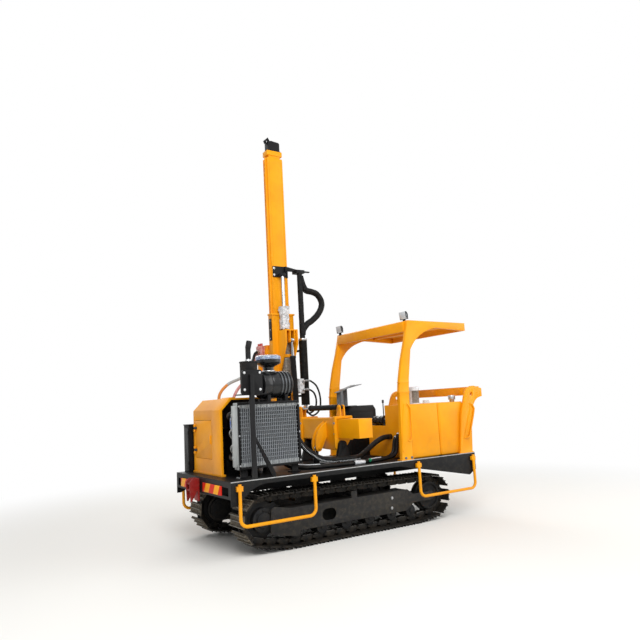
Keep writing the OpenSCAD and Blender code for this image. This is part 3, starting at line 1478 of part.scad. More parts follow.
// Carriage: a channel round the mast's nearer half, with lips behind its guide strips
guide_t = 20;
guide_y = mast_y + 40;
guide_gap = 5;
wall_in = mast_w / 2 + guide_w + guide_gap;
wall_t = 24;
carriage_low = 930;
lip_t = 14;
shelf_z = 2600;
housing_y = 865;
house_x = [70, 280];

module mast_carriage() {
    near = mast_y - guide_gap;
    placed("orange") {
        difference() {
            slab([mast_x - wall_in - wall_t, mast_x + wall_in + wall_t],
                [near - wall_t, guide_y + guide_t + guide_gap + lip_t],
                [carriage_low, carriage_top]);
            slab([mast_x - wall_in, mast_x + wall_in], [near, guide_y + guide_t + guide_gap],
                [carriage_low - 1, carriage_top + 1]);
            slab([mast_x - mast_w / 2 - guide_gap, mast_x + mast_w / 2 + guide_gap],
                [near, guide_y + 200], [carriage_low - 1, carriage_top + 1]);
        }
        for (z = [carriage_low, carriage_top - 24]) difference() {
            slab([mast_x - wall_in - wall_t - 14, mast_x + wall_in + wall_t + 14],
                [near - wall_t - 14, guide_y + guide_t + guide_gap + lip_t], [z, z + 24]);
            slab([mast_x - wall_in - 1, mast_x + wall_in + 1], [near - 1, guide_y + 200],
                [z - 1, z + 25]);
        }
        // Housing for the tilt cylinder's pin
        difference() {
            slab(house_x, [housing_y, near - wall_t], [shelf_z, shelf_z + 18]);
            rod_z(lift_x, lift_y, [shelf_z - 1, shelf_z + 20], lift_d / 2 + 8);
        }
        for (x = [house_x[0], house_x[1] - wall_t])
            crosswise([x, x + wall_t], [[near - wall_t + 1, 1990], [near - wall_t + 1, shelf_z],
                [housing_y, shelf_z], [housing_y, shelf_z - 190], [near - wall_t - 40, 2040]]);
        for (s = [-1, 1]) housing_lug(s);
        for (s = [-1, 1]) carriage_lug(s, near - wall_t);
        for (z = [1680, 2220]) lift_strap(z, near - wall_t);
    }
}

module housing_lug(s) {
    x = tilt_x + s * (tilt_lug_gap + tilt_lug_t) / 2;
    difference() {
        crosswise([x - tilt_lug_t / 2, x + tilt_lug_t / 2], concat(
            [[tilt_high[0] - 38, shelf_z + 1]],
            arc_points(tilt_high, 38, 180, 360, 10), [[tilt_high[0] + 38, shelf_z + 1]]));
        rod_x([x - 40, x + 40], tilt_high[0], tilt_high[1], tilt_pin_r);
    }
    if (s > 0) rod_x([tilt_x - tilt_lug_gap / 2 - tilt_lug_t - 6,
        tilt_x + tilt_lug_gap / 2 + tilt_lug_t + 6], tilt_high[0], tilt_high[1], tilt_pin_r);
}

carriage_lug_t = 28;

module carriage_lug(s, near) {
    x = arm_x + s * (arm_w / 2 - carriage_lug_t / 2 - 6);
    difference() {
        crosswise([x - carriage_lug_t / 2, x + carriage_lug_t / 2], concat(
            [[near + 1, arm_z + 150]],
            arc_points([tilt_y, arm_z], 66, 120, 240, 10), [[near + 1, arm_z - 150]]));
        rod_x([x - 40, x + 40], tilt_y, arm_z, tilt_pin / 2 + seat_gap);
    }
}

lift_x = 157;
lift_y = 1028;

module lift_strap(z, near) {
    difference() {
        slab([lift_x - lift_d / 2 - 22, lift_x + lift_d / 2 + 22],
            [lift_y - lift_d / 2 - 14, near + 1], [z, z + 44]);
        rod_z(lift_x, lift_y, [z - 1, z + 45], lift_d / 2 + seat_gap);
    }
}

lift_low = 1600;
lift_high = 2940;
lift_rod_d = 50;
lift_down = 350;
bracket_z = [3437, 3603];

module lift_cylinder_barrel() {
    placed("black") difference() {
        union() {
            rod_z(lift_x, lift_y, [lift_low, lift_high], lift_d / 2);
            rod_z(lift_x, lift_y, [lift_high - 60, lift_high], lift_d / 2 + 10);
        }
        rod_z(lift_x, lift_y, [lift_low + 40, lift_high + 1], lift_rod_d / 2 + seat_gap);
    }
}

module lift_cylinder_rod() {
    placed("silver") rod_z(lift_x, lift_y, [lift_low + 60 + lift_down, bracket_z[0]],
        lift_rod_d / 2);
}

module carriage_hoses() {
    placed("black") {
        rod_z(bundle_x, bundle_y, [bundle_low, clamp_z[0]], 62);
        rod_z(bundle_x, bundle_y, clamp_z, 66);
        for (z = [1640, 2300, clamp_z[0]]) slab(
            [mast_x + wall_in + wall_t, bundle_x - 50], [bundle_y - 8, bundle_y + 40],
            [z, z + 30]);
        for (z = [1640, 2300, clamp_z[0]]) slab(
            [mast_x + wall_in + wall_t, mast_x + wall_in + wall_t + 14],
            [bundle_y - 8, mast_y], [z, z + 30]);
    }
}

rear_rail_w = 30;
rear_rail_t = 12;
rail_neck = 38;
neck_h = 40;
cap_h = 75;
mast_far = mast_y + mast_d;

// Box section of the mast in [x, y]: cover strip, guide strips and hammer rails
module mast_section() {
    square_at(mast_x - mast_w / 2, mast_x + mast_w / 2, mast_y,
        mast_far - rear_rail_t - rail_neck);
    square_at(mast_x - mast_w / 2 + rear_rail_w, mast_x + mast_w / 2 - rear_rail_w, mast_y,
        mast_far);
    square_at(mast_x - mast_w / 2 - guide_w, mast_x + mast_w / 2 + guide_w, guide_y,
        guide_y + guide_t);
    square_at(mast_x - mast_w / 2, mast_x + mast_w / 2, mast_far - rear_rail_t, mast_far);
}

module square_at(x0, x1, y0, y1) {
    translate([x0, y0]) square([x1 - x0, y1 - y0]);
}

mast_wall = 10;

module mast() {
    placed("orange") {
        difference() {
            translate([0, 0, mast_foot]) linear_extrude(mast_top - mast_foot) mast_section();
            for (q = [[mast_wall, rear_rail_t + rail_neck + mast_wall],
                    [rear_rail_w + mast_wall, rear_rail_t + mast_wall]])
                slab([mast_x - mast_w / 2 + q[0], mast_x + mast_w / 2 - q[0]],
                    [mast_y + mast_wall, mast_far - q[1]], [mast_foot + 20, mast_top - 20]);
            for (s = [-1, 1]) let (x = mast_x + s * (mast_w / 2 - 25)) slab([x - 4, x + 4],
                [mast_y - 1, mast_y + 3], [mast_foot + 80, mast_top - 60]);
        }
        slab([mast_x - mast_w / 2 + 34, mast_x + mast_w / 2 - 34],
            [mast_y + 12, mast_far - 14], [mast_top, mast_top + neck_h]);
        slab([mast_x - mast_w / 2, mast_x + mast_w / 2], [mast_y, mast_far],
            [mast_top + neck_h, mast_top + neck_h + cap_h]);
        slab([mast_x - mast_w / 2 + 2, mast_x + mast_w / 2 - 2], [mast_y + 2, mast_far - 2],
            [mast_foot - 20, mast_foot]);
    }
}

module mast_head() {
    z = mast_top + neck_h + cap_h;
    placed("black") {
        slab([mast_x - 118, mast_x + 112], [mast_y + 6, mast_far - 6], [z, z + 14]);
        upright([mast_y + 14, mast_far - 14], [[mast_x - 96, z + 14], [mast_x + 100, z + 14],
            [mast_x + 100, z + 140], [mast_x + 84, z + 156], [mast_x - 44, z + 168],
            [mast_x - 96, z + 150]]);
        upright([mast_y + 50, mast_far - 50], [[mast_x - 60, z + 150], [mast_x - 40, z + 165],
            [mast_x - 78, z + 232], [mast_x - 140, z + 175], [mast_x - 122, z + 130],
            [mast_x - 100, z + 140], [mast_x - 112, z + 168], [mast_x - 82, z + 192]]);
    }
}

module mast_bracket() {
    right = mast_x + mast_w / 2;
    placed("black") {
        slab([mast_x - mast_w / 2 + 8, right + 2], [mast_y - 14, mast_y],
            bracket_z);
        slab([lift_x - 40, lift_x + 40], [lift_y - 34, mast_y - 14],
            [bracket_z[0], bracket_z[0] + 40]);
        upright([mast_y - 50, mast_y - 14], [[right - 60, bracket_z[0] + 85],
            [right - 60, bracket_z[1]], [right, bracket_z[1] - 10],
            [right + 200, bracket_z[1] - 45], [right + 370, bracket_z[1] - 50],
            [right + 370, bracket_z[1] - 66], [right, bracket_z[1] - 70]]);
        slab([bundle_x - 70, bundle_x + 70], [bundle_y - 40, mast_y - 20],
            [bracket_z[1] - 112, bracket_z[1] - 62]);
    }
}

module mast_hoses() {
    placed("black") {
        rod_z(bundle_x, bundle_y, [clamp_z[1], bracket_z[1] - 112], 42);
        hose([[bundle_x + 30, bundle_y, 3380], [bundle_x + 62, bundle_y, 3290],
            [541, bundle_y, 3237], [629, bundle_y, 3222], [718, bundle_y, 3195],
            [782, bundle_y, 3130], [809, bundle_y, 3045], [785, bundle_y, 2958],
            [715, bundle_y, 2859], [620, bundle_y, 2779], [528, bundle_y, 2715],
            [bundle_x + 25, bundle_y, 2630]], 104, 3, 10);
    }
}

hammer_y = mast_far + 60;
claw_gap = 0.8;
claw_t = 22;

module hammer() {
    half = hammer_w / 2;
    placed("orange") {
        difference() {
            slab([mast_x - half, mast_x + half], [hammer_y, hammer_y + hammer_d],
                [hammer_top - hammer_h, hammer_top - 60]);
            for (s = [-1, 1]) slab([mast_x + s * (half - 35) - 40, mast_x + s * (half - 35) + 40],
                [hammer_y + 80, hammer_y + hammer_d - 60],
                [hammer_top - hammer_h + 120, hammer_top - 180]);
        }
        slab([mast_x - half + 30, mast_x + half - 30],
            [hammer_y + 40, hammer_y + hammer_d - 40], [hammer_top - 60, hammer_top]);
        for (z = [hammer_top - hammer_h + 30, hammer_top - 260]) hammer_claw(z, 180);
        // Tie rods at the four corners, and the block that the hoses screw into
        for (s = [-1, 1], y = [hammer_y + 26, hammer_y + hammer_d - 26]) {
            rod_z(mast_x + s * (half - 26), y, [hammer_top - 61, hammer_top - 34], 17);
            rod_z(mast_x + s * (half - 26), y, [hammer_top - 40, hammer_top - 14], 10);
            rod_z(mast_x + s * (half - 26), y,
                [hammer_top - hammer_h - 22, hammer_top - hammer_h + 1], 17);
        }
        slab([port_x, mast_x - half + 1], port_y, [hammer_top - 170, hammer_top - 20]);
        for (y = port_y + [35, -35]) rod_z(port_x + 36, y, [hammer_top - 20, hammer_top + 28], 22);
        rod_z(mast_x + 30, hammer_y + hammer_d / 2, [hammer_top - 1, hammer_top + 36], 46);
    }
}

port_x = mast_x - hammer_w / 2 - 70;
port_y = [hammer_y + 60, hammer_y + 200];
hammer_hose_d = 42;
// The hammer's two hoses hang in a loop at its side
hammer_ways = [
    [[port_x - 0.2, port_y[0] + 35, 2340], [port_x - 18, port_y[0] + 35, 2340],
     [port_x - 36, port_y[0] + 35, 2340], [-150, 1412, 2318], [-184, 1395, 2262],
     [-226, 1375, 2150], [-300, 1355, 2036], [-424, 1350, 1955],
     [-599, 1350, 1887], [-694, 1350, 1819], [-742, 1350, 1764], [-774, 1350, 1695],
     [-762, 1355, 1600], [-685, 1366, 1500], [-530, 1382, 1440], [-310, 1390, 1442],
     [-140, 1386, 1500], [-82, 1374, 1568], [-44, 1370, 1598], [-30, 1370, 1600],
     [-17, 1370, 1600], [mast_x - hammer_w / 2 - 0.2, 1370, 1600]],
    [[port_x - 0.2, port_y[1] - 45, 2320], [port_x - 18, port_y[1] - 45, 2320],
     [port_x - 36, port_y[1] - 45, 2320], [-134, 1468, 2294], [-154, 1444, 2230],
     [-175, 1404, 2120], [-240, 1364, 2010], [-346, 1350, 1924], [-444, 1345, 1840],
     [-511, 1345, 1756], [-561, 1345, 1644], [-545, 1346, 1560],
     [-470, 1348, 1512], [-330, 1350, 1500], [-190, 1352, 1560], [-105, 1352, 1650],
     [-60, 1352, 1692], [-42, 1352, 1700], [-28, 1352, 1700], [-16, 1352, 1700],
     [mast_x - hammer_w / 2 - 0.2, 1352, 1700]]];

module hammer_hoses() {
    placed("black") for (way = hammer_ways) hose(way, hammer_hose_d);
}

module hammer_claw(z, h) {
    in = mast_w / 2 + claw_gap;
    difference() {
        slab([mast_x - in - claw_t, mast_x + in + claw_t],
            [mast_far - rear_rail_t - claw_gap - claw_t, hammer_y], [z, z + h]);
        slab([mast_x - in, mast_x + in],
            [mast_far - rear_rail_t - claw_gap, mast_far + claw_gap], [z - 1, z + h + 1]);
        slab([mast_x - in + rear_rail_w, mast_x + in - rear_rail_w],
            [mast_far - 100, mast_far + claw_gap], [z - 1, z + h + 1]);
    }
}

cap_d = 300;
cap_low = hammer_top - hammer_h - 360;
cap_in = 240;

module drive_cap() {
    low = hammer_top - hammer_h;
    placed("black") translate([mast_x, hammer_y + hammer_d / 2, 0])
        rotate_extrude() polygon([[0, low], [tool_d / 2 + 40, low], [tool_d / 2 + 40, low - 60],
            [tool_d / 2, low - 80], [tool_d / 2, cap_low + 110], [cap_d / 2, cap_low + 90],
            [cap_d / 2, cap_low], [cap_in / 2, cap_low], [cap_in / 2, cap_low + 60],
            [0, cap_low + 60]]);
}

// The model stands with the middle of its outer box over the origin
frame_mid = [(rear_x + rear_reach - deck_back - hitch_len) / 2,
    (hammer_y + hammer_d - step_y - step_d / 2) / 2];

module placed(c) {
    color(c) translate([-frame_mid[0], -frame_mid[1], 0]) children();
}

left_track();
right_track();
drive_sprockets();
idler_wheels();
track_rollers();
track_frames();
deck();
end_panels();
tow_hitch();
step_rails();
hood();
hood_door();
engine();
radiator();
battery_cabinet();
filter_post();
air_filter();
precleaner();
exhaust();
hydraulic_tank();
fuel_tank();
tank_fittings();
canopy_posts();
canopy_hoops();
canopy_roof();
rear_posts();
work_lamps();
control_box();
lever_rack();
return_filter();
suction_line();
deck_hoses();
pedestals();
slide_sleeve();
slide_cylinder_barrel();
slide_arm();
slide_cylinder_rod();
valve_block();
lean_cylinder_barrel();
lean_cylinder_rod();
tilt_cylinder_barrel();
tilt_cylinder_rod();
mast_carriage();
lift_cylinder_barrel();
carriage_hoses();
valve_hoses();
mast();
mast_head();
mast_bracket();
lift_cylinder_rod();
mast_hoses();
hammer();
hammer_hoses();
drive_cap();
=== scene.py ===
import bpy
import json
import math
from mathutils import Matrix, Vector, noise


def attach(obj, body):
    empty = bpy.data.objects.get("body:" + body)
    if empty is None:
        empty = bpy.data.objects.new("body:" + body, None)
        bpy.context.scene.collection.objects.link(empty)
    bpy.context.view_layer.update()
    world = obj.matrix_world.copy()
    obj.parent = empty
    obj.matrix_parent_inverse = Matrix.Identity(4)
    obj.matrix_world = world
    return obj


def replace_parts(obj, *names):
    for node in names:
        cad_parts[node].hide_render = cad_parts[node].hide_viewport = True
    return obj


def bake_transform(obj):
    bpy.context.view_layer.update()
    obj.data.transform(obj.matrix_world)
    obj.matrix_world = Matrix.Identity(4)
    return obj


noise.seed_set(5)  # so that the films crease the same way each run
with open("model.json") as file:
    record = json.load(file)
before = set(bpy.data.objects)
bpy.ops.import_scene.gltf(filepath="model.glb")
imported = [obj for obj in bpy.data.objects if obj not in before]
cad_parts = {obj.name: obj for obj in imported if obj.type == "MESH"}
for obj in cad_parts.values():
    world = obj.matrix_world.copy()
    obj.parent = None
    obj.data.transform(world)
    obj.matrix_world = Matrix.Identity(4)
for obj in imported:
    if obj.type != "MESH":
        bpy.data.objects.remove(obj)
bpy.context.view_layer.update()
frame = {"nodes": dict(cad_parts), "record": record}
cadNodes = frame["nodes"]
slotOf = {part["node"]: part["material_slot"] for part in frame["record"]["subparts"]}
bodyOf = {node: body for body, nodes in frame["record"]["behaviour"]["bodies"].items()
          for node in nodes}
middle = Vector((235, 391.5, 0))  # the frame's origin, in mm from between the tracks
print("frame loaded,", len(cadNodes), "nodes")


def at(x, y, z):  # a place in the layout's mm, as metres in the frame
    return (Vector((x, y, z)) - middle) / 1000


def route(points):
    return [at(*point) for point in points]


def inMetres(x, y, z):
    return Vector((x, y, z)) / 1000


# camera, solved from the photo's straight edges

view = {"place": at(-4158, -6531, 1516), "right": (0.83994, -0.54010, -0.05287),
        "up": (-0.03198, -0.14652, 0.98869), "lens": 33.46, "sensor": 36}


def makeCamera():
    bpy.ops.object.camera_add(location=view["place"])
    camera = bpy.context.object
    right, up = Vector(view["right"]), Vector(view["up"])
    turn = Matrix((right, up, right.cross(up))).transposed().to_4x4()
    camera.matrix_world = Matrix.Translation(view["place"]) @ turn
    camera.data.lens = view["lens"]
    camera.data.sensor_width = view["sensor"]
    bpy.context.scene.camera = camera


def toLinear(hexColour):
    channels = [int(hexColour[i:i + 2], 16) / 255 for i in (1, 3, 5)]
    return tuple(c / 12.92 if c <= 0.04045 else ((c + 0.055) / 1.055) ** 2.4
                 for c in channels) + (1,)


def addNode(tree, kind, inputs=None, **settings):
    node = tree.nodes.new(kind)
    for key, value in settings.items():
        setattr(node, key, value)
    for key, value in (inputs or {}).items():
        if isinstance(value, bpy.types.NodeSocket):
            tree.links.new(value, node.inputs[key])
        else:
            node.inputs[key].default_value = toLinear(value) if isinstance(value, str) else value
    return node


# floor, which fades to white where the camera sees it far off, and three lamps

studio = {  # each lamp: watts, width, place and target in metres
    "floor": "#EFEEEA", "roughness": 0.9, "radius": 60, "fade": (3.4, 7.5), "sky": 0.48,
    "lamps": {"keyLight": (620, 5, (-3.5, -7, 7.5), (0, 0, 1.6)),
              "fillLight": (250, 7, (6.5, -5, 5), (0, 0, 1.5)),
              "rimLight": (290, 5, (2, 7.5, 6.5), (0, 0, 2))}}


def makeFloor():
    bpy.ops.mesh.primitive_circle_add(vertices=96, radius=studio["radius"], fill_type="NGON")
    floor = bpy.context.object
    floor.name = "studioFloor"
    surface = bpy.data.materials.new("studio floor paint")
    surface.use_nodes = True
    tree = surface.node_tree
    paint = tree.nodes["Principled BSDF"]
    paint.inputs["Base Color"].default_value = toLinear(studio["floor"])
    paint.inputs["Roughness"].default_value = studio["roughness"]
    place = addNode(tree, "ShaderNodeTexCoord").outputs["Object"]
    away = addNode(tree, "ShaderNodeVectorMath", {0: place}, operation="LENGTH").outputs["Value"]
    near, far = studio["fade"]
    fade = addNode(tree, "ShaderNodeMapRange", {"From Min": near, "From Max": far, "Value": away},
                   interpolation_type="SMOOTHSTEP").outputs["Result"]
    path = addNode(tree, "ShaderNodeLightPath")
    fade = addNode(tree, "ShaderNodeMath", {0: fade, 1: path.outputs["Is Camera Ray"]},
                   operation="MULTIPLY")
    white = addNode(tree, "ShaderNodeEmission", {"Color": "#FFFFFF"})
    both = addNode(tree, "ShaderNodeMixShader", {0: fade.outputs[0], 1: paint.outputs[0],
                                                 2: white.outputs[0]})
    tree.links.new(both.outputs[0], tree.nodes["Material Output"].inputs["Surface"])
    floor.data.materials.append(surface)


def makeLamps():
    for name, (energy, size, place, target) in studio["lamps"].items():
        bpy.ops.object.light_add(type="AREA", location=place)
        lamp = bpy.context.object
        lamp.name = name
        lamp.data.energy = energy
        lamp.data.size = size
        lamp.rotation_euler = (Vector(target) - Vector(place)).to_track_quat("-Z", "Y").to_euler()


def makeSky():
    world = bpy.data.worlds.new("studio")
    bpy.context.scene.world = world
    world.use_nodes = True
    tree = world.node_tree
    tree.nodes.clear()
    path = addNode(tree, "ShaderNodeLightPath")
    seen = path.outputs["Is Camera Ray"]
    for ray in ("Is Glossy Ray", "Is Transmission Ray"):
        seen = addNode(tree, "ShaderNodeMath", {0: seen, 1: path.outputs[ray]},
                       operation="MAXIMUM").outputs[0]
    strength = addNode(tree, "ShaderNodeMapRange", {"To Min": studio["sky"], "To Max": 1.0,
                                                    "Value": seen}).outputs["Result"]
    shell = addNode(tree, "ShaderNodeBackground", {"Color": "#FFFFFF", "Strength": strength})
    addNode(tree, "ShaderNodeOutputWorld", {"Surface": shell.outputs[0]})
    bpy.context.scene.view_settings.view_transform = "Standard"


makeCamera()
makeFloor()
makeLamps()
makeSky()
print("camera, lights and floor")

# materials, each from what the real surface is; pattern sizes are in mm

patterns = {
    "fadeMm": 420,  # how far apart the paint's paler areas are
    "dustMm": 55, "dustFrom": 1.3, "dustTo": 0.2,  # metres above ground: none, and all of it
    "peelMm": 3, "peelDepth": 0.25,  # enamel's orange peel is finer, and drawn coarse to show
    "rustMm": 70, "coverMm": 40, "coverDust": ("#7D7364", 0.14),
    "creaseDepth": 4}


def newMaterial(name, colour, roughness, metallic=0.0, **sockets):
    material = bpy.data.materials.new(name)
    material.use_nodes = True
    shader = material.node_tree.nodes["Principled BSDF"]
    shader.inputs["Base Color"].default_value = toLinear(colour)
    shader.inputs["Roughness"].default_value = roughness
    shader.inputs["Metallic"].default_value = metallic
    for key, value in sockets.items():
        shader.inputs[key.replace("_", " ")].default_value = value
    return material


def noiseMask(tree, sizeMm, low, high, detail=4.0, roughness=0.6):
    place = addNode(tree, "ShaderNodeTexCoord").outputs["Object"]
    pattern = addNode(tree, "ShaderNodeTexNoise", {
        "Scale": 1000 / sizeMm, "Detail": detail, "Roughness": roughness, "Vector": place})
    mask = addNode(tree, "ShaderNodeMapRange", {
        "From Min": low, "From Max": high, "Value": pattern.outputs["Fac"]}, clamp=True)
    return mask.outputs["Result"]


def dressShader(material, share, first, second, height, depthMm, strength):
    tree = material.node_tree
    shader = tree.nodes["Principled BSDF"]
    mix = addNode(tree, "ShaderNodeMix", {0: share, 6: first, 7: second}, data_type="RGBA")
    tree.links.new(mix.outputs[2], shader.inputs["Base Color"])
    bump = addNode(tree, "ShaderNodeBump", {"Strength": strength, "Distance": depthMm / 1000,
                                            "Height": height})
    tree.links.new(bump.outputs["Normal"], shader.inputs["Normal"])
    return material


def paintedSteel(name, colour, faded, roughness, dust="#8A7B66", dustShare=0.3, shine=0.25):
    material = newMaterial(name, colour, roughness, Specular_IOR_Level=shine)
    tree = material.node_tree
    base = addNode(tree, "ShaderNodeMix", {
        0: noiseMask(tree, patterns["fadeMm"], 0.4, 0.7), 6: colour, 7: faded}, data_type="RGBA")
    place = addNode(tree, "ShaderNodeTexCoord").outputs["Object"]
    height = addNode(tree, "ShaderNodeSeparateXYZ", {"Vector": place}).outputs["Z"]
    low = addNode(tree, "ShaderNodeMapRange", {
        "From Min": patterns["dustFrom"], "From Max": patterns["dustTo"], "Value": height},
        clamp=True).outputs["Result"]
    grime = noiseMask(tree, patterns["dustMm"], 0.47, 0.75, 8.0, 0.7)
    for factor in (low, dustShare):
        grime = addNode(tree, "ShaderNodeMath", {0: grime, 1: factor},
                        operation="MULTIPLY").outputs[0]
    matt = addNode(tree, "ShaderNodeMapRange", {"To Min": roughness, "To Max": 0.8,
                                                "Value": grime}).outputs["Result"]
    tree.links.new(matt, tree.nodes["Principled BSDF"].inputs["Roughness"])
    peel = noiseMask(tree, patterns["peelMm"], 0, 1, 2.0)
    return dressShader(material, grime, base.outputs[2], dust, peel, patterns["peelDepth"], 0.25)


def wornIron(name, colour, rust, share, roughness, grainMm=5, depthMm=0.8):
    material = newMaterial(name, colour, roughness, 0.3, Specular_IOR_Level=0.3)
    tree = material.node_tree
    patch = noiseMask(tree, patterns["rustMm"], 0.42, 0.66, 8.0, 0.7)
    patch = addNode(tree, "ShaderNodeMath", {0: patch, 1: share}, operation="MULTIPLY").outputs[0]
    grain = noiseMask(tree, grainMm, 0, 1, 5.0)
    return dressShader(material, patch, colour, rust, grain, depthMm, 0.5)


def hoseRubber(name, colour, roughness, weaveMm=2.2):
    material = newMaterial(name, colour, roughness, Specular_IOR_Level=0.2)
    tree = material.node_tree
    dust, dustShare = patterns["coverDust"]
    dusty = noiseMask(tree, patterns["coverMm"], 0.5, 0.8, 6.0)
    dusty = addNode(tree, "ShaderNodeMath", {0: dusty, 1: dustShare},
                    operation="MULTIPLY").outputs[0]
    weave = noiseMask(tree, weaveMm, 0, 1, 1.0)
    return dressShader(material, dusty, colour, dust, weave, 0.5, 0.6)


def crumpledFilm(name, colour, shade, foldMm=28):
    material = newMaterial(name, colour, 0.28, IOR=1.5)
    folds = noiseMask(material.node_tree, foldMm, 0.35, 0.65, 5.0, 0.65)
    # the hollows of the folds take the shade colour: painted shade
    return dressShader(material, folds, shade, colour, folds, patterns["creaseDepth"], 0.8)


def plainSkin(name, colour, shade, roughness, grainMm, metallic=0.0, depthMm=0.1):
    material = newMaterial(name, colour, roughness, metallic)
    grain = noiseMask(material.node_tree, grainMm, 0.3, 0.7)
    return dressShader(material, grain, shade, colour, grain, depthMm, 0.3)


stripes = {"pitch": 0.25, "lean": 0.6, "start": 10.125,  # metres; a pitch is one red, one yellow
           "red": "#DC2A16", "yellow": "#FFAE1E"}


def hazardFilm():
    material = newMaterial("hazard stripe film", stripes["red"], 0.4, Specular_IOR_Level=0.15)
    tree = material.node_tree
    place = addNode(tree, "ShaderNodeTexCoord").outputs["Object"]
    place = addNode(tree, "ShaderNodeSeparateXYZ", {"Vector": place})
    wave = addNode(tree, "ShaderNodeMath", {0: place.outputs["Z"], 1: stripes["lean"],
                   2: place.outputs["Y"]}, operation="MULTIPLY_ADD").outputs[0]
    for operation, number in (("ADD", stripes["start"]), ("DIVIDE", stripes["pitch"]),
                              ("FRACT", 0), ("GREATER_THAN", 0.5)):
        wave = addNode(tree, "ShaderNodeMath", {0: wave, 1: number},
                       operation=operation).outputs[0]
    mix = addNode(tree, "ShaderNodeMix", {0: wave, 6: stripes["red"], 7: stripes["yellow"]},
                  data_type="RGBA")
    tree.links.new(mix.outputs[2], tree.nodes["Principled BSDF"].inputs["Base Color"])
    return material


materials = {
    # two-part enamel, sprayed over blasted plate: a warm skin with a soft reflection
    "yellow_paint": paintedSteel("machine yellow enamel", "#F4A305", "#EA9505", 0.42,
                                 dustShare=0.25),
    # satin black enamel: dust shows on it before anything else
    "black_paint": paintedSteel("satin black enamel", "#0D0D0F", "#131415", 0.45, "#6A6252", 0.2,
                                0.2),
    "dustyPaint": paintedSteel("black enamel under dried dust", "#222223", "#2E2C29", 0.55,
                               "#655C4C", 0.4, 0.2),
    # brushed primer, flat and uneven
    "hitch_red": paintedSteel("red primer on hitch steel", "#8C1512", "#741312", 0.45),
    # baked powder, an even grey without gloss
    "grey_sheet": paintedSteel("grey powder coat", "#4A4E52", "#42464A", 0.5),
    "leverGrey": paintedSteel("grey enamel on levers", "#6E7478", "#63686C", 0.45),
    # lacquer on spun sheet: grey, with little sparkle
    "filter_silver": paintedSteel("silver lacquer", "#8E9194", "#7F8286", 0.35),
    # cast alloy, bare: pale and matt
    "paleTank": paintedSteel("cast end tank, bare alloy", "#A9ACAC", "#9A9D9C", 0.5),
    # forged shoes: black scale, soil dried into the corners, bright only at the tips
    "track_steel": wornIron("forged shoe steel", "#131313", "#3D352B", 0.7, 0.6, 9, 1.2),
    "shoeTip": wornIron("grouser tip, ground bare by soil", "#8D8B86", "#4C463C", 0.7, 0.5, 6,
                        0.5),
    "driedSoil": wornIron("shoe face under dried soil", "#6F675A", "#3B342A", 0.8, 0.8, 12, 1.0),
    # sand-cast iron under dark paint: dull and pitted, with rust in the pits
    "dark_iron": wornIron("cast iron, painted dark", "#17181A", "#332E27", 0.6, 0.6),
    # plate edge rubbed through its paint, and painted bright as its highlight: a thin bright line
    "wornEdgeHighlight": wornIron("edge worn bare, painted bright as a highlight", "#B4B6B6", "#6F6C66", 0.6, 0.45, 4, 0.3),
    # ground and plated rod: a tight mirror, faintly clouded where it was handled
    "chrome_rod": plainSkin("hard chrome, ground", "#B4B9BE", "#A6ACB2", 0.14, 60, 1.0, 0.02),
    # zinc plate: grey crystals a few millimetres wide
    "zinc": plainSkin("zinc-plated steel", "#C9CACB", "#A9ABAD", 0.34, 5, 1.0),
    "brightBolt": plainSkin("bright zinc bolt", "#E4E5E6", "#C6C8CA", 0.4, 5, 0.5),
    # steel bands round the filter, painted in as the highlights on its ribs, with long reflections
    # of their own
    "ribHighlightSteel": plainSkin("steel band painted as a rib's highlight", "#6F7275", "#55585B", 0.35, 8, 1.0),
    # brazed fins: painted highlight on the fin edges and painted shade in the gaps, a grain drawn 6
    # mm apart to show
    "radiator_core": plainSkin("brazed aluminium core", "#94989C", "#7C8084", 0.45, 6, 0.45, 0.3),
    # extruded rubber under a woven cover, or in a woven sleeve: no gloss, a little dust
    "hose_rubber": hoseRubber("hydraulic hose rubber", "#0E0F10", 0.5),
    "clothSleeve": hoseRubber("woven nylon hose sleeve", "#0B0C0E", 0.66, 4),
    "orangeSleeve": hoseRubber("orange nylon sleeve", "#D98A45", 0.7, 3),
    "greySleeve": hoseRubber("grey nylon sleeve", "#A9AAA8", 0.7, 3),
    # blown film, wrapped by hand: pale ridges, and painted shade in the hollows where it creases
    "white_wrap": crumpledFilm("polythene film, wrapped", "#ECEEF0", "#BFC3C7"),
    "clearFilm": crumpledFilm("clear film over the rod's gland", "#EEF0F2", "#8A8E93", 40),
    "dullFilm": crumpledFilm("dusty stretch film", "#8C8377", "#5B5349"),
    "pinkFilm": crumpledFilm("pink polythene film", "#D9A09B", "#B5605A"),
    # blue film: its pale patches are painted highlights
    "blueWithHighlights": plainSkin("blue film under the bowl, with painted highlights", "#2F6FD6", "#E6EEF6", 0.4, 42),
    # moulded polycarbonate: clear, with a sharp highlight
    "clear_plastic": newMaterial("clear polycarbonate", "#DCE6EC", 0.08, IOR=1.58,
                                 Transmission_Weight=0.85),
    # acrylic cast with fine prisms, which break the reflection up
    "lens": plainSkin("lamp lens, clear acrylic", "#D9DEE2", "#B9BEC3", 0.1, 7, 0.0, 0.6),
    # moulded plastics: even colour, the mould's fine grain
    "glossBlack": plainSkin("black polyamide, moulded", "#0E0F11", "#131416", 0.25, 3),
    "redCap": plainSkin("red plastic cap", "#B3201C", "#A01B18", 0.4, 4),
    "greenFitting": plainSkin("green plastic plug", "#1F9A6B", "#178359", 0.4, 4),
    "paleRubber": plainSkin("pale spiral guard", "#D4D8DB", "#B7BABC", 0.5, 15),
    # painted shade: black, matt, and swallows light, laid like foam on faces that lie in shade
    # inside the hood and set back in the radiator
    "paintedShadeBlack": plainSkin("black painted shade", "#0A0A0B", "#050505", 0.95, 4, 0.0, 1.5),
    # printed film: clean stripes, slightly glossy
    "warning_red": hazardFilm(),
}


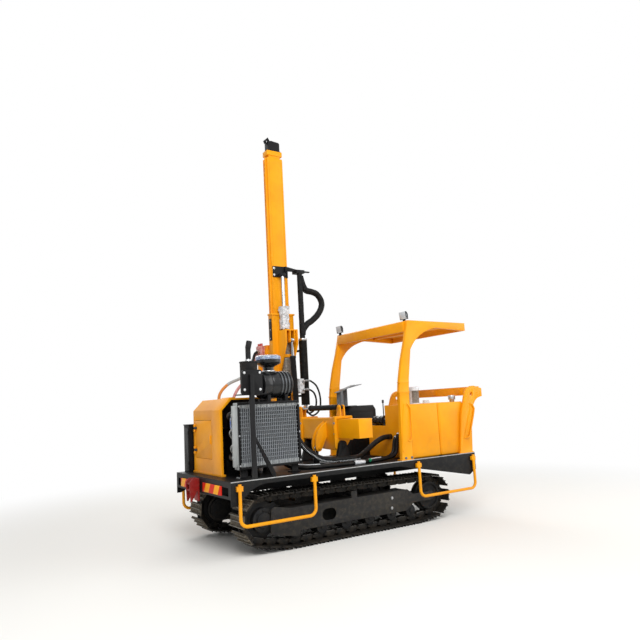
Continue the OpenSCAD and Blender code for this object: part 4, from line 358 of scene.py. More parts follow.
def paint(piece, *names):
    piece.data.materials.clear()
    for name in names:
        piece.data.materials.append(materials[name])


for node, piece in cadNodes.items():
    paint(piece, slotOf[node])
print("materials,", len(materials))

# helpers for modelling

sharpAngle = 35  # degrees: edges that turn more are bevelled, and stay sharp when shaded


def activate(piece):
    bpy.ops.object.select_all(action="DESELECT")
    piece.select_set(True)
    bpy.context.view_layer.objects.active = piece


def inEditMode(piece):
    activate(piece)
    bpy.ops.object.mode_set(mode="EDIT")
    bpy.ops.mesh.select_all(action="SELECT")


def objectMode():
    bpy.ops.object.mode_set(mode="OBJECT")


def linkPiece(name, data):
    piece = bpy.data.objects.new(name, data)
    bpy.context.collection.objects.link(piece)
    return piece


def newPiece(name, points, faces=(), edges=()):
    mesh = bpy.data.meshes.new(name)
    mesh.from_pydata(points, edges, faces)
    return linkPiece(name, mesh)


def turnTo(place, axis):  # turns Z to the axis, then moves to the place
    return Matrix.Translation(place) @ Vector(axis).to_track_quat("Z", "Y").to_matrix().to_4x4()


def bevelPiece(piece, width, segments=2):
    activate(piece)
    edge = piece.modifiers.new("edge", "BEVEL")
    edge.width = width / 1000
    edge.segments = segments
    edge.limit_method = "ANGLE"
    edge.angle_limit = math.radians(sharpAngle)
    bpy.ops.object.modifier_apply(modifier=edge.name)


def finishPiece(piece, name, body, slot, material=None, smooth=sharpAngle):
    activate(piece)
    bpy.ops.object.transform_apply(location=True, rotation=True, scale=True)
    bpy.ops.object.shade_smooth_by_angle(angle=math.radians(smooth))
    piece.name = name
    if material != "keep":
        paint(piece, material or slot)
    if body:
        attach(piece, body)
    return piece


def joinPieces(pieces):
    activate(pieces[0])
    for piece in pieces:
        piece.select_set(True)
    if len(pieces) > 1:
        bpy.ops.object.join()
    return bpy.context.view_layer.objects.active


def softenNode(node, width, segments=2, cover=None, patches=()):
    piece = linkPiece(node + "Finish", cadNodes[node].data.copy())
    inEditMode(piece)
    bpy.ops.mesh.customdata_custom_splitnormals_clear()
    bpy.ops.mesh.remove_doubles(threshold=0.00003)
    bpy.ops.mesh.dissolve_limited(angle_limit=math.radians(0.6))
    objectMode()
    bevelPiece(piece, width, segments)
    paint(piece, cover or slotOf[node], *(material for material, test in patches))
    for index, (material, test) in enumerate(patches, 1):
        for face in piece.data.polygons:
            if test(face.center * 1000 + middle, face.normal):
                face.material_index = index
    finishPiece(piece, node + "Finish", bodyOf[node], slotOf[node], "keep")
    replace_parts(piece, node)


def smoothPath(points, steps=5):  # a curve that passes through each point
    line = []
    for i in range(len(points) - 1):
        a, b = points[max(i - 1, 0)], points[i]
        c, d = points[i + 1], points[min(i + 2, len(points) - 1)]
        for j in range(steps):
            t = j / steps
            line.append(0.5 * (2 * b + (c - a) * t + (2 * a - 5 * b + 4 * c - d) * t * t
                               + (3 * b - a - 3 * c + d) * t ** 3))
    return line + [points[-1]]


def tubePiece(name, line, radius, rounds=3):
    curve = bpy.data.curves.new(name, "CURVE")
    curve.dimensions = "3D"
    spline = curve.splines.new("POLY")
    spline.points.add(len(line) - 1)
    for spot, point in zip(line, spline.points):
        point.co = (*spot, 1)
    curve.bevel_depth = radius / 1000
    curve.bevel_resolution = rounds
    curve.use_fill_caps = True
    activate(linkPiece(name, curve))
    bpy.ops.object.convert(target="MESH")
    return bpy.context.object


def coilLine(line, radius, pitch, sides=10):  # a coil of that radius and pitch round the line
    marks = [0.0]
    for a, b in zip(line, line[1:]):
        marks.append(marks[-1] + (b - a).length)
    count = round(marks[-1] * 1000 / pitch) * sides
    side = Vector((0, 0, 1)).cross(line[1] - line[0])  # no line here starts upright
    coil, step = [], 0
    for k in range(count + 1):
        s = marks[-1] * k / count
        while step < len(line) - 2 and marks[step + 1] < s:
            step += 1
        a, b = line[step], line[step + 1]
        share = (s - marks[step]) / (marks[step + 1] - marks[step])
        along = (b - a).normalized()
        side = (side - along * side.dot(along)).normalized()
        angle = 2 * math.pi * k / sides
        coil.append(a.lerp(b, share) + (side * math.cos(angle)
                    + along.cross(side) * math.sin(angle)) * radius / 1000)
    return coil


def partOf(line, start, end):  # the stretch between two shares of the line's points
    last = len(line) - 1
    return line[int(last * start):int(last * end) + 1]


def ruffle(piece, sizeMm, depthMm, seed=(0, 0, 0)):
    for vertex in piece.data.vertices:
        spot = vertex.co * 1000 / sizeMm + Vector(seed)
        vertex.co += noise.noise_vector(spot) * depthMm / 1000


def lathe(name, profile, place=(0, 0, 0), axis=(0, 0, 1), steps=40):
    points = [inMetres(r, 0, z) for r, z in profile]
    piece = newPiece(name, points, edges=[(i, i + 1) for i in range(len(points) - 1)])
    inEditMode(piece)
    bpy.ops.mesh.spin(steps=steps, angle=2 * math.pi, center=(0, 0, 0), axis=(0, 0, 1))
    bpy.ops.mesh.select_all(action="SELECT")
    bpy.ops.mesh.remove_doubles(threshold=0.00001)
    bpy.ops.mesh.normals_make_consistent(inside=False)
    objectMode()
    piece.data.transform(turnTo(place, axis))
    return piece


def addBlock(x, y, z, width=0, segments=2):
    bpy.ops.object.select_all(action="DESELECT")
    bpy.ops.mesh.primitive_cube_add(
        size=0.001, location=at(sum(x) / 2, sum(y) / 2, sum(z) / 2),
        scale=(x[1] - x[0], y[1] - y[0], z[1] - z[0]))
    block = bpy.context.object
    bpy.ops.object.transform_apply(location=True, rotation=True, scale=True)
    if width:
        bevelPiece(block, width, segments)
    return block


def addRod(radius, start, end, sides):
    bpy.ops.object.select_all(action="DESELECT")
    bpy.ops.mesh.primitive_cylinder_add(vertices=sides, radius=radius / 1000,
                                        depth=(end - start).length)
    rod = bpy.context.object
    rod.data.transform(turnTo((start + end) / 2, end - start))
    return rod


def sidePlate(outline, y, width=0):
    points = [inMetres(x, y[0], z) for x, z in outline]
    piece = newPiece("plate", points, [list(range(len(points)))])
    inEditMode(piece)
    bpy.ops.mesh.extrude_region_move(
        TRANSFORM_OT_translate={"value": (0, (y[1] - y[0]) / 1000, 0)})
    bpy.ops.mesh.select_all(action="SELECT")
    bpy.ops.mesh.normals_make_consistent(inside=False)
    objectMode()
    if width:
        bevelPiece(piece, width)
    return piece


bolt = {"washer": 1.7, "washerHeight": 0.3, "head": 1.15, "headHeight": 0.85, "headAt": 0.7,
        "inset": 0.2, "dome": 0.12}  # shares of the bolt's radius


def boltHead(radius):
    size = {key: share * radius / 1000 for key, share in bolt.items()}
    bpy.ops.object.select_all(action="DESELECT")
    bpy.ops.mesh.primitive_cylinder_add(
        vertices=16, radius=size["washer"], depth=size["washerHeight"],
        location=(0, 0, size["washerHeight"] / 2))
    disc = bpy.context.object
    bpy.ops.mesh.primitive_cylinder_add(vertices=6, radius=size["head"],
                                        depth=size["headHeight"], location=(0, 0, size["headAt"]))
    head = bpy.context.object
    inEditMode(head)
    bpy.ops.mesh.select_all(action="DESELECT")
    objectMode()
    for face in head.data.polygons:
        face.select = face.normal.z > 0.9
    bpy.ops.object.mode_set(mode="EDIT")
    bpy.ops.mesh.inset(thickness=size["inset"])
    bpy.ops.transform.translate(value=(0, 0, size["dome"]))
    objectMode()
    for part in (disc, head):
        activate(part)
        bpy.ops.object.transform_apply(location=True)
    return joinPieces([disc, head])


def placeCopies(template, places, axis):  # the template itself goes
    copies = []
    for place in places:
        mesh = template.data.copy()
        mesh.transform(turnTo(at(*place), axis))
        copies.append(linkPiece("copy", mesh))
    bpy.data.objects.remove(template, do_unlink=True)
    return joinPieces(copies)


# CAD solids, finished with rounded edges: the bevel's width in mm

softEdges = {
    "pedestals": 2.5, "battery_cabinet": 3.0, "filter_post": 2.0, "canopy_posts": 3.0,
    "canopy_hoops": 3.0, "canopy_roof": 3.0, "rear_posts": 3.0, "slide_sleeve": 3.0,
    "slide_cylinder_barrel": 1.5, "slide_arm": 3.0, "lean_cylinder_barrel": 2.0,
    "tilt_cylinder_barrel": 2.0, "mast_carriage": 3.0, "lift_cylinder_barrel": 2.0,
    "mast_head": 2.5, "mast_bracket": 2.5, "drive_cap": 3.0, "idler_wheels": 3.0,
    "track_rollers": 3.0, "drive_sprockets": 3.0, "tow_hitch": 3.0, "engine": 4.0,
    "control_box": 4.0, "step_rails": 1.0, "lift_cylinder_rod": 0.8, "mast": 2.5,
    "slide_cylinder_rod": 0.8, "lean_cylinder_rod": 0.8, "tilt_cylinder_rod": 0.8,
    "hydraulic_tank": 4.0, "fuel_tank": 4.0, "end_panels": 1.5, "track_frames": 2.5,
    "lever_rack": 0.8, "deck": 5.0, "hood_door": 2.0, "hood": 2.5, "radiator": 1.5,
    "hammer": 4.0, "tank_fittings": 2.0, "valve_block": 4.0, "return_filter": 2.0,
    "exhaust": 1.5, "work_lamps": 1.5, "carriage_hoses": 2.0,
}
chamfered = {"deck"}  # a flat chamfer, which the wear and the painted highlight show on
covers = {"track_frames": "dustyPaint", "lever_rack": "leverGrey"}
# faces with another finish, picked by their centre p in mm and their normal n
patches = {
    # the deck's upper chamfer: worn steel, painted bright as a highlight
    "deck": [("wornEdgeHighlight", lambda p, n: abs(p.y) > 793 and p.z > 774 and 0.3 < n.z < 0.97)],
    "hood_door": [("glossBlack", lambda p, n: p.x < -1450.2 and p.y > 440)],  # the hinges
    # the hood's inner faces: black, painted shade
    "hood": [("paintedShadeBlack", lambda p, n: p.x > -1435 and (
        n.x > 0.3 and p.x < -1300 or n.z < -0.5 and p.z > 1480 or n.y < -0.5 and p.y > 540))],
    "radiator": [
        ("black_paint", lambda p, n: p.z > 1555 or p.z < 895 or p.x < -1379 or p.x > -655),
        # the radiator's faces set back behind its front: black, painted shade
        ("paintedShadeBlack", lambda p, n: -572 < p.y < -560 and n.y < -0.5),
        ("paleTank", lambda p, n: p.x < -1386)],
    "hammer": [("pinkFilm", lambda p, n: p.x < -6),  # the ports' block and its caps
               ("redCap", lambda p, n: p.x < -6 and p.z > 2421)],
    "tank_fittings": [
        ("glossBlack", lambda p, n: p.y > -260), ("zinc", lambda p, n: p.x > 1600),
        ("redCap", lambda p, n: p.z > 1657),
        ("dullFilm", lambda p, n: 1050 < p.x < 1200 and 1470 < p.z < 1650)],
    "return_filter": [("glossBlack", lambda p, n: True),
                      ("zinc", lambda p, n: p.y < -201 or p.y > 42)],  # both ends
    "exhaust": [("zinc", lambda p, n: 2024 < p.z < 2050)],  # the clamp under the outlet
    "work_lamps": [("lens", lambda p, n: abs(n.x) > 0.9 and p.z > 2565)],
    "carriage_hoses": [("zinc", lambda p, n: p.z > 2469)],
}
for node, width in softEdges.items():
    softenNode(node, width, 1 if node in chamfered else 2, covers.get(node),
               patches.get(node, ()))
print("solids finished")

# tracks, one shoe after another round the wheels (x, z and radius)

track = {"wheels": [(-860, 100, 40), (930, 100, 40), (1192, 302, 210), (-1182, 335, 220)],
         "pitch": 154, "width": 350, "gauge": 1180, "plate": (30, 42), "grousers": (-55, 0, 55),
         "grouserTop": 60, "linkAt": 50, "linkThick": 26, "linkFoot": -36, "boltAt": (27, 50),
         "bolt": (9, 8), "pin": (15, 72), "pinAt": -10,
         "soiledFrom": -0.45}  # cosine of the turn where the sprocket's soiled end starts


def beltPlaces(wheels, pitch):
    pairs = list(zip(wheels, wheels[1:] + wheels[:1]))
    runs, normals = [], []
    for a, b in pairs:
        span = math.hypot(b[0] - a[0], b[1] - a[1])
        normals.append(math.atan2(b[1] - a[1], b[0] - a[0]) - math.acos((a[2] - b[2]) / span))
        runs.append(math.sqrt(span ** 2 - (a[2] - b[2]) ** 2))
    turns = [(end - start) % (2 * math.pi)
             for start, end in zip(normals, normals[1:] + normals[:1])]
    arcs = [pair[1][2] * turn for pair, turn in zip(pairs, turns)]
    length = sum(runs) + sum(arcs)
    count = round(length / pitch)
    places = []
    for k in range(count):
        s = (k + 0.5) * length / count
        for (a, b), run, normal, arc in zip(pairs, runs, normals, arcs):
            if s <= run:
                places.append((a[0] + a[2] * math.cos(normal) - s * math.sin(normal),
                               a[1] + a[2] * math.sin(normal) + s * math.cos(normal), normal))
                break
            if s <= run + arc:
                w = normal + (s - run) / b[2]
                places.append((b[0] + b[2] * math.cos(w), b[1] + b[2] * math.sin(w), w))
                break
            s -= run + arc
    return places, length / count


def makeShoe(pitch):
    half, wide, thick = pitch / 2, track["width"] / 2, track["linkThick"] / 2
    low, top = track["plate"]
    tip, foot = track["grouserTop"], track["linkFoot"]
    radius, height = track["bolt"]
    pinRadius, pinHalf = track["pin"]
    parts = [sidePlate([(2 - half, low - 8), (10 - half, low), (half - 14, low),
                        (half - 6, top - 4), (half - 10, top), (8 - half, top)],
                       (-wide, wide), 1.5)]
    for x in track["grousers"]:
        parts.append(sidePlate([(x - 6, top - 1), (x + 6, top - 1), (x + 3, tip), (x - 3, tip)],
                               (3 - wide, wide - 3)))
    for side in (-1, 1):
        y = side * track["linkAt"]
        parts.append(sidePlate(
            [(4 - half, -22), (20 - half, foot), (half - 20, foot), (half - 4, -22),
             (half - 4, 2), (half - 24, 12), (half - 30, 29), (30 - half, 29), (24 - half, 12),
             (4 - half, 2)], (y - thick, y + thick), 2))
        boltX, boltY = track["boltAt"]
        for x in (-boltX, boltX):
            parts.append(addRod(radius, inMetres(x, side * boltY, top - 1),
                                inMetres(x, side * boltY, top + height), 6))
    parts.append(addRod(pinRadius, inMetres(half, -pinHalf, track["pinAt"]),
                        inMetres(half, pinHalf, track["pinAt"]), 14))
    shoe = joinPieces(parts)
    paint(shoe, "track_steel", "shoeTip", "driedSoil")
    for face in shoe.data.polygons:
        z = face.center.z * 1000
        face.material_index = int(z > tip - 1 or z < foot + 0.5)
    return shoe


def makeTracks():
    places, pitch = beltPlaces(track["wheels"], track["pitch"])
    shoe = makeShoe(pitch)
    for node, side in (("left_track", -1), ("right_track", 1)):
        copies = []
        for x, z, w in places:
            turn = Matrix(((math.sin(w), 0, math.cos(w)), (0, 1, 0),
                           (-math.cos(w), 0, math.sin(w)))).to_4x4()
            mesh = shoe.data.copy()
            if math.cos(w) < track["soiledFrom"]:
                for face in mesh.polygons:
                    if face.center.z * 1000 > track["plate"][1] - 1 and not face.material_index:
                        face.material_index = 2
            mesh.transform(Matrix.Translation(at(x, side * track["gauge"] / 2, z)) @ turn)
            copies.append(linkPiece("shoe", mesh))
        belt = finishPiece(joinPieces(copies), node + "Shoes", bodyOf[node], "track_steel", "keep")
        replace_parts(belt, node)
    bpy.data.objects.remove(shoe, do_unlink=True)


makeTracks()
print("tracks")

# hoses, at the same points as in the part's source

suctionWay = route([
    (879.8, -368, 1052), (858, -368, 1052), (836, -368, 1052), (790, -366, 1052),
    (740, -363, 1043), (685, -360, 1023), (607, -358, 986), (526, -360, 937), (446, -370, 895),
    (391, -385, 871), (330, -412, 855), (234, -465, 850), (120, -490, 850), (0, -480, 850),
    (-127, -445, 852), (-268, -420, 885), (-403, -420, 967), (-482, -415, 1031),
    (-535, -405, 1112), (-560, -350, 1178), (-566, -270, 1208), (-578, -180, 1210),
    (-604, -122, 1204), (-640, -100, 1200), (-660, -100, 1200), (-680, -100, 1200),
    (-699.8, -100, 1200)])
deckWays = [route(way) for way in [
    [(-779.8, 60, 1040), (-762, 60, 1040), (-744, 60, 1040), (-670, 35, 1000),
     (-610, -50, 900), (-560, -190, 825), (-490, -350, 804), (-370, -480, 802),
     (-100, -547, 802), (200, -567, 802), (344, -557, 802), (520, -537, 805), (684, -510, 815),
     (765, -500, 845), (800, -500, 905), (812, -500, 975), (826, -500, 1022),
     (846, -500, 1046), (858, -500, 1050), (869, -500, 1050), (879.8, -500, 1050)],
    [(-779.8, -20, 990), (-762, -20, 990), (-744, -20, 990), (-696, -60, 950),
     (-655, -160, 870), (-610, -290, 810), (-550, -440, 802), (-400, -562, 802),
     (-100, -607, 802), (200, -619, 802), (344, -610, 802), (520, -590, 805),
     (690, -562, 815), (775, -554, 845), (806, -554, 905), (818, -554, 985),
     (828, -554, 1056), (846, -554, 1085), (858, -554, 1090), (869, -554, 1090),
     (879.8, -554, 1090)],
    [(940, 62.2, 1262), (940, 72, 1262), (940, 82, 1262), (930, 104, 1262), (902, 116, 1252),
     (862, 106, 1226), (834, 92, 1184), (824, 78, 1140), (834, 70, 1108), (850, 70, 1098),
     (860, 70, 1098), (870, 70, 1098), (879.8, 70, 1098)]]]

deckHose = {  # radii and lengths in mm; a stretch is two shares of the hose's length
    "suction": 33, "suctionEnd": (36, 45), "runs": (21, 21, 17), "runEnd": (24, 40),
    "filterEnd": (20, 30),
    "guard": {"stretch": (0.4, 0.73), "shift": (0, -24, -20), "coil": (8, 19, 8), "wire": 4},
    "clampAt": ((234, -465), (-60, -466)), "clampHalf": (22, 48), "clampZ": (780, 832),
    # each film: hose, stretch, radius and how far it lies above the hose
    "films": ((0, 0.29, 0.36, 7, 20), (0, 0.5, 0.57, 7, 20), (1, 0.435, 0.465, 24, 0),
              (0, 0.44, 0.46, 24, 0)), "ruffle": (22, 4),
    "plug": [(0, 0), (11, 0), (13, 3), (13, 16), (17, 18), (17, 34), (14, 38), (0, 38)],
    "plugAt": (300, -648, 800), "plugAxis": (0.1, -0.3, 1)}


def endFittings(name, lines, fitting, body, cover="zinc"):
    radius, length = fitting
    fittings = []
    for line in lines:
        for ends in (line, line[::-1]):
            walked, run = 0, [ends[0]]
            for a, b in zip(ends, ends[1:]):
                walked += (b - a).length
                run.append(b)
                if walked > length / 1000:
                    break
            fittings.append(tubePiece("ferrule", run, radius, 4))
    return finishPiece(joinPieces(fittings), name, body, "chrome_rod", cover)


def makeSuctionHose():
    line = smoothPath(suctionWay)
    hose = tubePiece("suctionHose", line, deckHose["suction"], 5)
    endFittings("suctionEnds", [line], deckHose["suctionEnd"], "chassis", "glossBlack")
    guard = deckHose["guard"]
    way = [spot + inMetres(*guard["shift"]) for spot in partOf(line, *guard["stretch"])]
    coil = tubePiece("guard", coilLine(way, *guard["coil"]), guard["wire"], 1)
    finishPiece(coil, "suctionGuard", "chassis", "white_wrap", "paleRubber")
    a, b = deckHose["clampHalf"]
    feet = [addBlock((x - a, x + a), (y - b, y + b), deckHose["clampZ"], 6, 3)
            for x, y in deckHose["clampAt"]]
    feet = finishPiece(joinPieces(feet), "suctionClamps", "chassis", "hose_rubber", "black_paint")
    finishPiece(hose, "suctionHose", "chassis", "hose_rubber")
    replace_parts(hose, "suction_line")
    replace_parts(feet, "suction_line")


def makeDeckHoses():
    lines = [smoothPath(way) for way in deckWays]
    streaks = []
    for k, a, b, radius, lift in deckHose["films"]:
        line = [spot + inMetres(0, -lift / 2, lift) for spot in partOf(lines[k], a, b)]
        streaks.append(tubePiece("streak", line, radius, 5))
        ruffle(streaks[-1], *deckHose["ruffle"], (k, radius, 0))
    finishPiece(joinPieces(streaks), "deckHoseFilm", "chassis", "white_wrap")
    plug = lathe("plug", deckHose["plug"], at(*deckHose["plugAt"]), deckHose["plugAxis"], 20)
    finishPiece(plug, "greenPlug", "chassis", "white_wrap", "greenFitting")
    endFittings("deckHoseEnds", lines[:2], deckHose["runEnd"], "chassis")
    endFittings("filterHoseEnds", lines[2:], deckHose["filterEnd"], "chassis")
    runs = [tubePiece("run", line, radius, 4) for line, radius in zip(lines, deckHose["runs"])]
    runs = finishPiece(joinPieces(runs), "deckHoseRuns", "chassis", "hose_rubber")
    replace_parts(runs, "deck_hoses")


makeSuctionHose()
makeDeckHoses()

mastLoop = route([
    (448, 1000, 3450), (467, 1000, 3380), (499, 1000, 3290), (541, 1000, 3237), (629, 1000, 3222),
    (718, 1000, 3195), (782, 1000, 3130), (809, 1000, 3045), (785, 1000, 2958),
    (715, 1000, 2859), (620, 1000, 2779), (524, 1000, 2715), (456, 1000, 2630),
    (444, 1000, 2560)])
valveWays = [route(way) for way in [
    [(340, 892.8, 1860), (340, 886, 1860), (340, 879, 1860), (356, 864, 1863),
     (390, 860, 1869), (452, 862, 1862), (552, 868, 1789), (612, 880, 1655), (630, 905, 1500),
     (602, 940, 1405), (535, 975, 1362), (476, 995, 1400), (453, 1000, 1460),
     (452, 1000, 1492), (452, 1000, 1506), (452, 1000, 1519.8)],
    [(340, 892.8, 1735), (340, 886, 1735), (340, 879, 1735), (354, 864, 1738),
     (382, 860, 1743), (430, 862, 1737), (505, 870, 1690), (548, 885, 1600),
     (556, 910, 1500), (530, 945, 1428), (478, 975, 1400), (433, 992, 1424),
     (421, 1000, 1462), (420, 1000, 1492), (420, 1000, 1506), (420, 1000, 1519.8)]]]
hammerWays = [route(way) for way in [
    [(-75.2, 1420, 2340), (-93, 1420, 2340), (-111, 1420, 2340), (-150, 1412, 2318),
     (-184, 1395, 2262), (-226, 1375, 2150), (-300, 1355, 2036), (-424, 1350, 1955),
     (-599, 1350, 1887), (-694, 1350, 1819), (-742, 1350, 1764), (-774, 1350, 1695),
     (-762, 1355, 1600), (-685, 1366, 1500), (-530, 1382, 1440), (-310, 1390, 1442),
     (-140, 1386, 1500), (-82, 1374, 1568), (-44, 1370, 1598), (-30, 1370, 1600),
     (-17, 1370, 1600), (-5.2, 1370, 1600)],
    [(-75.2, 1480, 2320), (-93, 1480, 2320), (-111, 1480, 2320), (-134, 1468, 2294),
     (-154, 1444, 2230), (-175, 1404, 2120), (-240, 1364, 2010), (-346, 1350, 1924),
     (-444, 1345, 1840), (-511, 1345, 1756), (-561, 1345, 1644), (-545, 1346, 1560),
     (-470, 1348, 1512), (-330, 1350, 1500), (-190, 1352, 1560), (-105, 1352, 1650),
     (-60, 1352, 1692), (-42, 1352, 1700), (-28, 1352, 1700), (-16, 1352, 1700),
     (-5.2, 1352, 1700)]]]

mastHose = {  # the sleeved bundle runs down the mast at x, y and loops over to the carriage
    "at": (437, 1000), "bottom": 2502, "top": 3491, "step": 30, "radius": 41, "ruffle": (55, 2),
    "loopRadius": 47, "loopRuffle": (60, 3), "stretchTop": 3440, "stretchFoot": 2540}
valveHose = {"radius": 13, "end": (16, 35), "guard": (0.1, 0.32), "coil": (13.5, 14), "wire": 3}
hammerHose = {"radius": 20, "end": (24, 40), "sleeveRadius": 21.5, "sleeves": {
    # hose, stretch and material
    "greySleeve": (0, 0.24, 0.4, "greySleeve"), "orangeSleeve": (0, 0.4, 0.62, "orangeSleeve"),
    "pinkWrap": (1, 0.12, 0.62, "pinkFilm")}}


def makeMastHoses():
    x, y = mastHose["at"]
    loop = tubePiece("loop", smoothPath(mastLoop, 6), mastHose["loopRadius"], 6)
    ruffle(loop, *mastHose["loopRuffle"])
    heights = [*range(mastHose["bottom"], mastHose["top"], mastHose["step"]), mastHose["top"]]
    straight = tubePiece("straight", [at(x, y, z) for z in heights], mastHose["radius"], 6)
    ruffle(straight, *mastHose["ruffle"])
    sleeve = finishPiece(joinPieces([loop, straight]), "mastHoseSleeve", None,
                         "hose_rubber", "clothSleeve")
    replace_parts(sleeve, "mast_hoses")
    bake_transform(sleeve)


def makeValveHoses():
    lines = [smoothPath(way) for way in valveWays]
    endFittings("valveHoseEnds", lines, valveHose["end"], "carriage")
    coils = [coilLine(partOf(line, *valveHose["guard"]), *valveHose["coil"]) for line in lines]
    wrap = joinPieces([tubePiece("wrap", coil, valveHose["wire"], 2) for coil in coils])
    finishPiece(wrap, "valveHoseGuards", "carriage", "white_wrap", "paleRubber")
    hoses = joinPieces([tubePiece("run", line, valveHose["radius"]) for line in lines])
    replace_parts(finishPiece(hoses, "valveHoseRuns", "carriage", "hose_rubber"), "valve_hoses")


def makeHammerHoses():
    lines = [smoothPath(way) for way in hammerWays]
    endFittings("hammerHoseEnds", lines, hammerHose["end"], "hammer_body")
    runs = joinPieces([tubePiece("run", line, hammerHose["radius"], 4) for line in lines])
    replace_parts(finishPiece(runs, "hammerHoseRuns", "hammer_body", "hose_rubber"), "hammer_hoses")
    for name, (k, a, b, cover) in hammerHose["sleeves"].items():
        sleeve = tubePiece(name, partOf(lines[k], a, b), hammerHose["sleeveRadius"], 4)
        finishPiece(sleeve, name, "hammer_body", "hose_rubber", cover)


makeMastHoses()
makeValveHoses()
makeHammerHoses()
print("hoses")

# films left on from the works, crumpled over what they protect

films = {  # the box it fills in mm, body, material, cuts, ruffle, its seed and the neck's share
    "barrelHeadFilm": (((97, 217), (972, 1084), (2640, 2970)), "carriage", "clearFilm", 15, 15, 3,
                       -0.34),
    "barrelFilm": (((98, 216), (970, 1086), (1960, 2560)), "carriage", "dullFilm", 13, 7, 5, 0),
    "valveFilm": (((282, 378), (897, 1001), (1700, 1900)), "carriage", "white_wrap", 11, 13, 8,
                  0),
    "portFilm": (((-88, -6), (1372, 1538), (2262, 2428)), "hammer_body", "pinkFilm", 9, 10, 11,
                 0)}
crumple = {"coarse": 34, "fine": 13, "fineShare": 0.4, "corner": 0.75, "foot": 0.6, "smooth": 50}


def filmBag(name, box, body, cover, cuts, depth, seed, neck):
    bag = addBlock(*box)
    inEditMode(bag)
    bpy.ops.mesh.subdivide(number_cuts=cuts)
    objectMode()
    centre = at(*(sum(pair) / 2 for pair in box))
    half = inMetres(*((pair[1] - pair[0]) / 2 for pair in box))
    for vertex in bag.data.vertices:
        local = vertex.co - centre
        share = local.z / half.z
        pull = 1 - neck * (max(share, 0) + crumple["foot"] * max(-share, 0))
        ring = math.hypot(local.x / half.x, local.y / half.y)
        rounding = 1 if ring < 1 else 1 - crumple["corner"] * (1 - 1 / ring)
        vertex.co.x = centre.x + local.x * pull * rounding
        vertex.co.y = centre.y + local.y * pull * rounding
    ruffle(bag, crumple["coarse"], depth, (seed, seed * 1.7, 0))
    ruffle(bag, crumple["fine"], depth * crumple["fineShare"], (0, seed, seed * 2.3))
    finishPiece(bag, name, body, "white_wrap", cover, crumple["smooth"])


for name, values in films.items():
    filmBag(name, *values)
print("films")

# air cleaner: the filter's body lies along x, the precleaner stands on it

cleaner = {
    "at": (-1100, -500, 1767), "bands": (240, 281, 323), "bandRadii": (151.6, 153),
    "bandWidth": 16, "sides": 56,
    "body": [
        (0, 0), (118, 0), (128, 3), (140, 16), (150, 24), (152.5, 34), (152.5, 112),
        (150, 116), (146, 119), (146, 127), (150, 131), (152.5, 136), (152.5, 214),
        (149, 218), (143, 221), (143, 233), (149, 237), (152, 241), (152, 255),
        (149, 259), (142, 262), (142, 274), (149, 278), (152, 282), (152, 296),
        (149, 300), (142, 303), (142, 316), (149, 320), (152, 324), (152, 338),
        (149, 342), (142, 345), (142, 356), (148, 360), (148, 376), (140, 384), (112, 399),
        (0, 399)]}
precleaner = {"at": (-955, -500, 0), "parts": {  # slot, material, then radius and height
    "precleanerBase": ("black_paint", "glossBlack", [
        (0, 1885), (62, 1885), (62, 1905), (70, 1908), (70, 1930), (62, 1934), (62, 1965),
        (80, 1978), (133, 2002), (143, 2012), (144.5, 2022), (144.5, 2044), (140, 2048),
        (0, 2048)]),
    "precleanerBowl": ("clear_plastic", None, [
        (0, 2049), (138, 2049), (144.5, 2053), (144.5, 2082), (139, 2090), (126, 2099),
        (90, 2103), (0, 2105)]),
    # the band's pale patches are painted highlights
    "precleanerBand": ("clear_plastic", "blueWithHighlights", [
        (133, 2056), (136, 2056), (136, 2082), (133, 2082), (133, 2056)]),
    "precleanerLiner": ("white_wrap", None, [
        (0, 2050), (125, 2050), (125, 2084), (112, 2092), (0, 2094)]),
    "precleanerClamp": ("black_paint", "zinc", [
        (62, 1912), (74, 1912), (76, 1915), (76, 1925), (74, 1928), (62, 1928), (62, 1912)])}}


def makeAirFilter():
    place, axis, sides = at(*cleaner["at"]), (1, 0, 0), cleaner["sides"]
    body = lathe("filterBody", cleaner["body"], place, axis, sides)
    body = finishPiece(body, "airFilterBody", "chassis", "black_paint", "glossBlack")
    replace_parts(body, "air_filter")
    # three metal bands over the ribs: painted highlights
    inner, outer = cleaner["bandRadii"]
    bands = []
    for s in cleaner["bands"]:
        end = s + cleaner["bandWidth"]
        profile = [(inner, s), (outer, s + 1), (outer, end - 1), (inner, end), (inner, s)]
        bands.append(lathe("band", profile, place, axis, sides))
    finishPiece(joinPieces(bands), "airFilterHighlightBands", "chassis", "chrome_rod", "ribHighlightSteel")


def makePrecleaner():
    for name, (slot, cover, profile) in precleaner["parts"].items():
        part = lathe("bowl", profile, at(*precleaner["at"]))
        finishPiece(part, name, "chassis", slot, cover)
        if name in ("precleanerBase", "precleanerBowl"):
            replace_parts(part, "precleaner")


makeAirFilter()
makePrecleaner()
print("air cleaner")

# radiator: pale tubes show above and below the fins

radiator = {"x": (-1378, -656), "y": -590, "rows": ((1521, 1554), (896, 934)), "tubes": 48,
            "share": 0.36}  # a tube's radius, as a share of their spacing


def makeHeaders():
    left, right = radiator["x"]
    step = (right - left) / radiator["tubes"]
    tubes = []
    for low, high in radiator["rows"]:
        for k in range(radiator["tubes"]):
            x = left + (k + 0.5) * step
            tubes.append(addRod(step * radiator["share"], at(x, radiator["y"], low),
                                at(x, radiator["y"], high), 8))
    finishPiece(joinPieces(tubes), "radiatorHeaders", "chassis", "radiator_core", "paleTank")


makeHeaders()

# bars and strips: body, slot, material, bevel, and each bar's extent in x, y and z

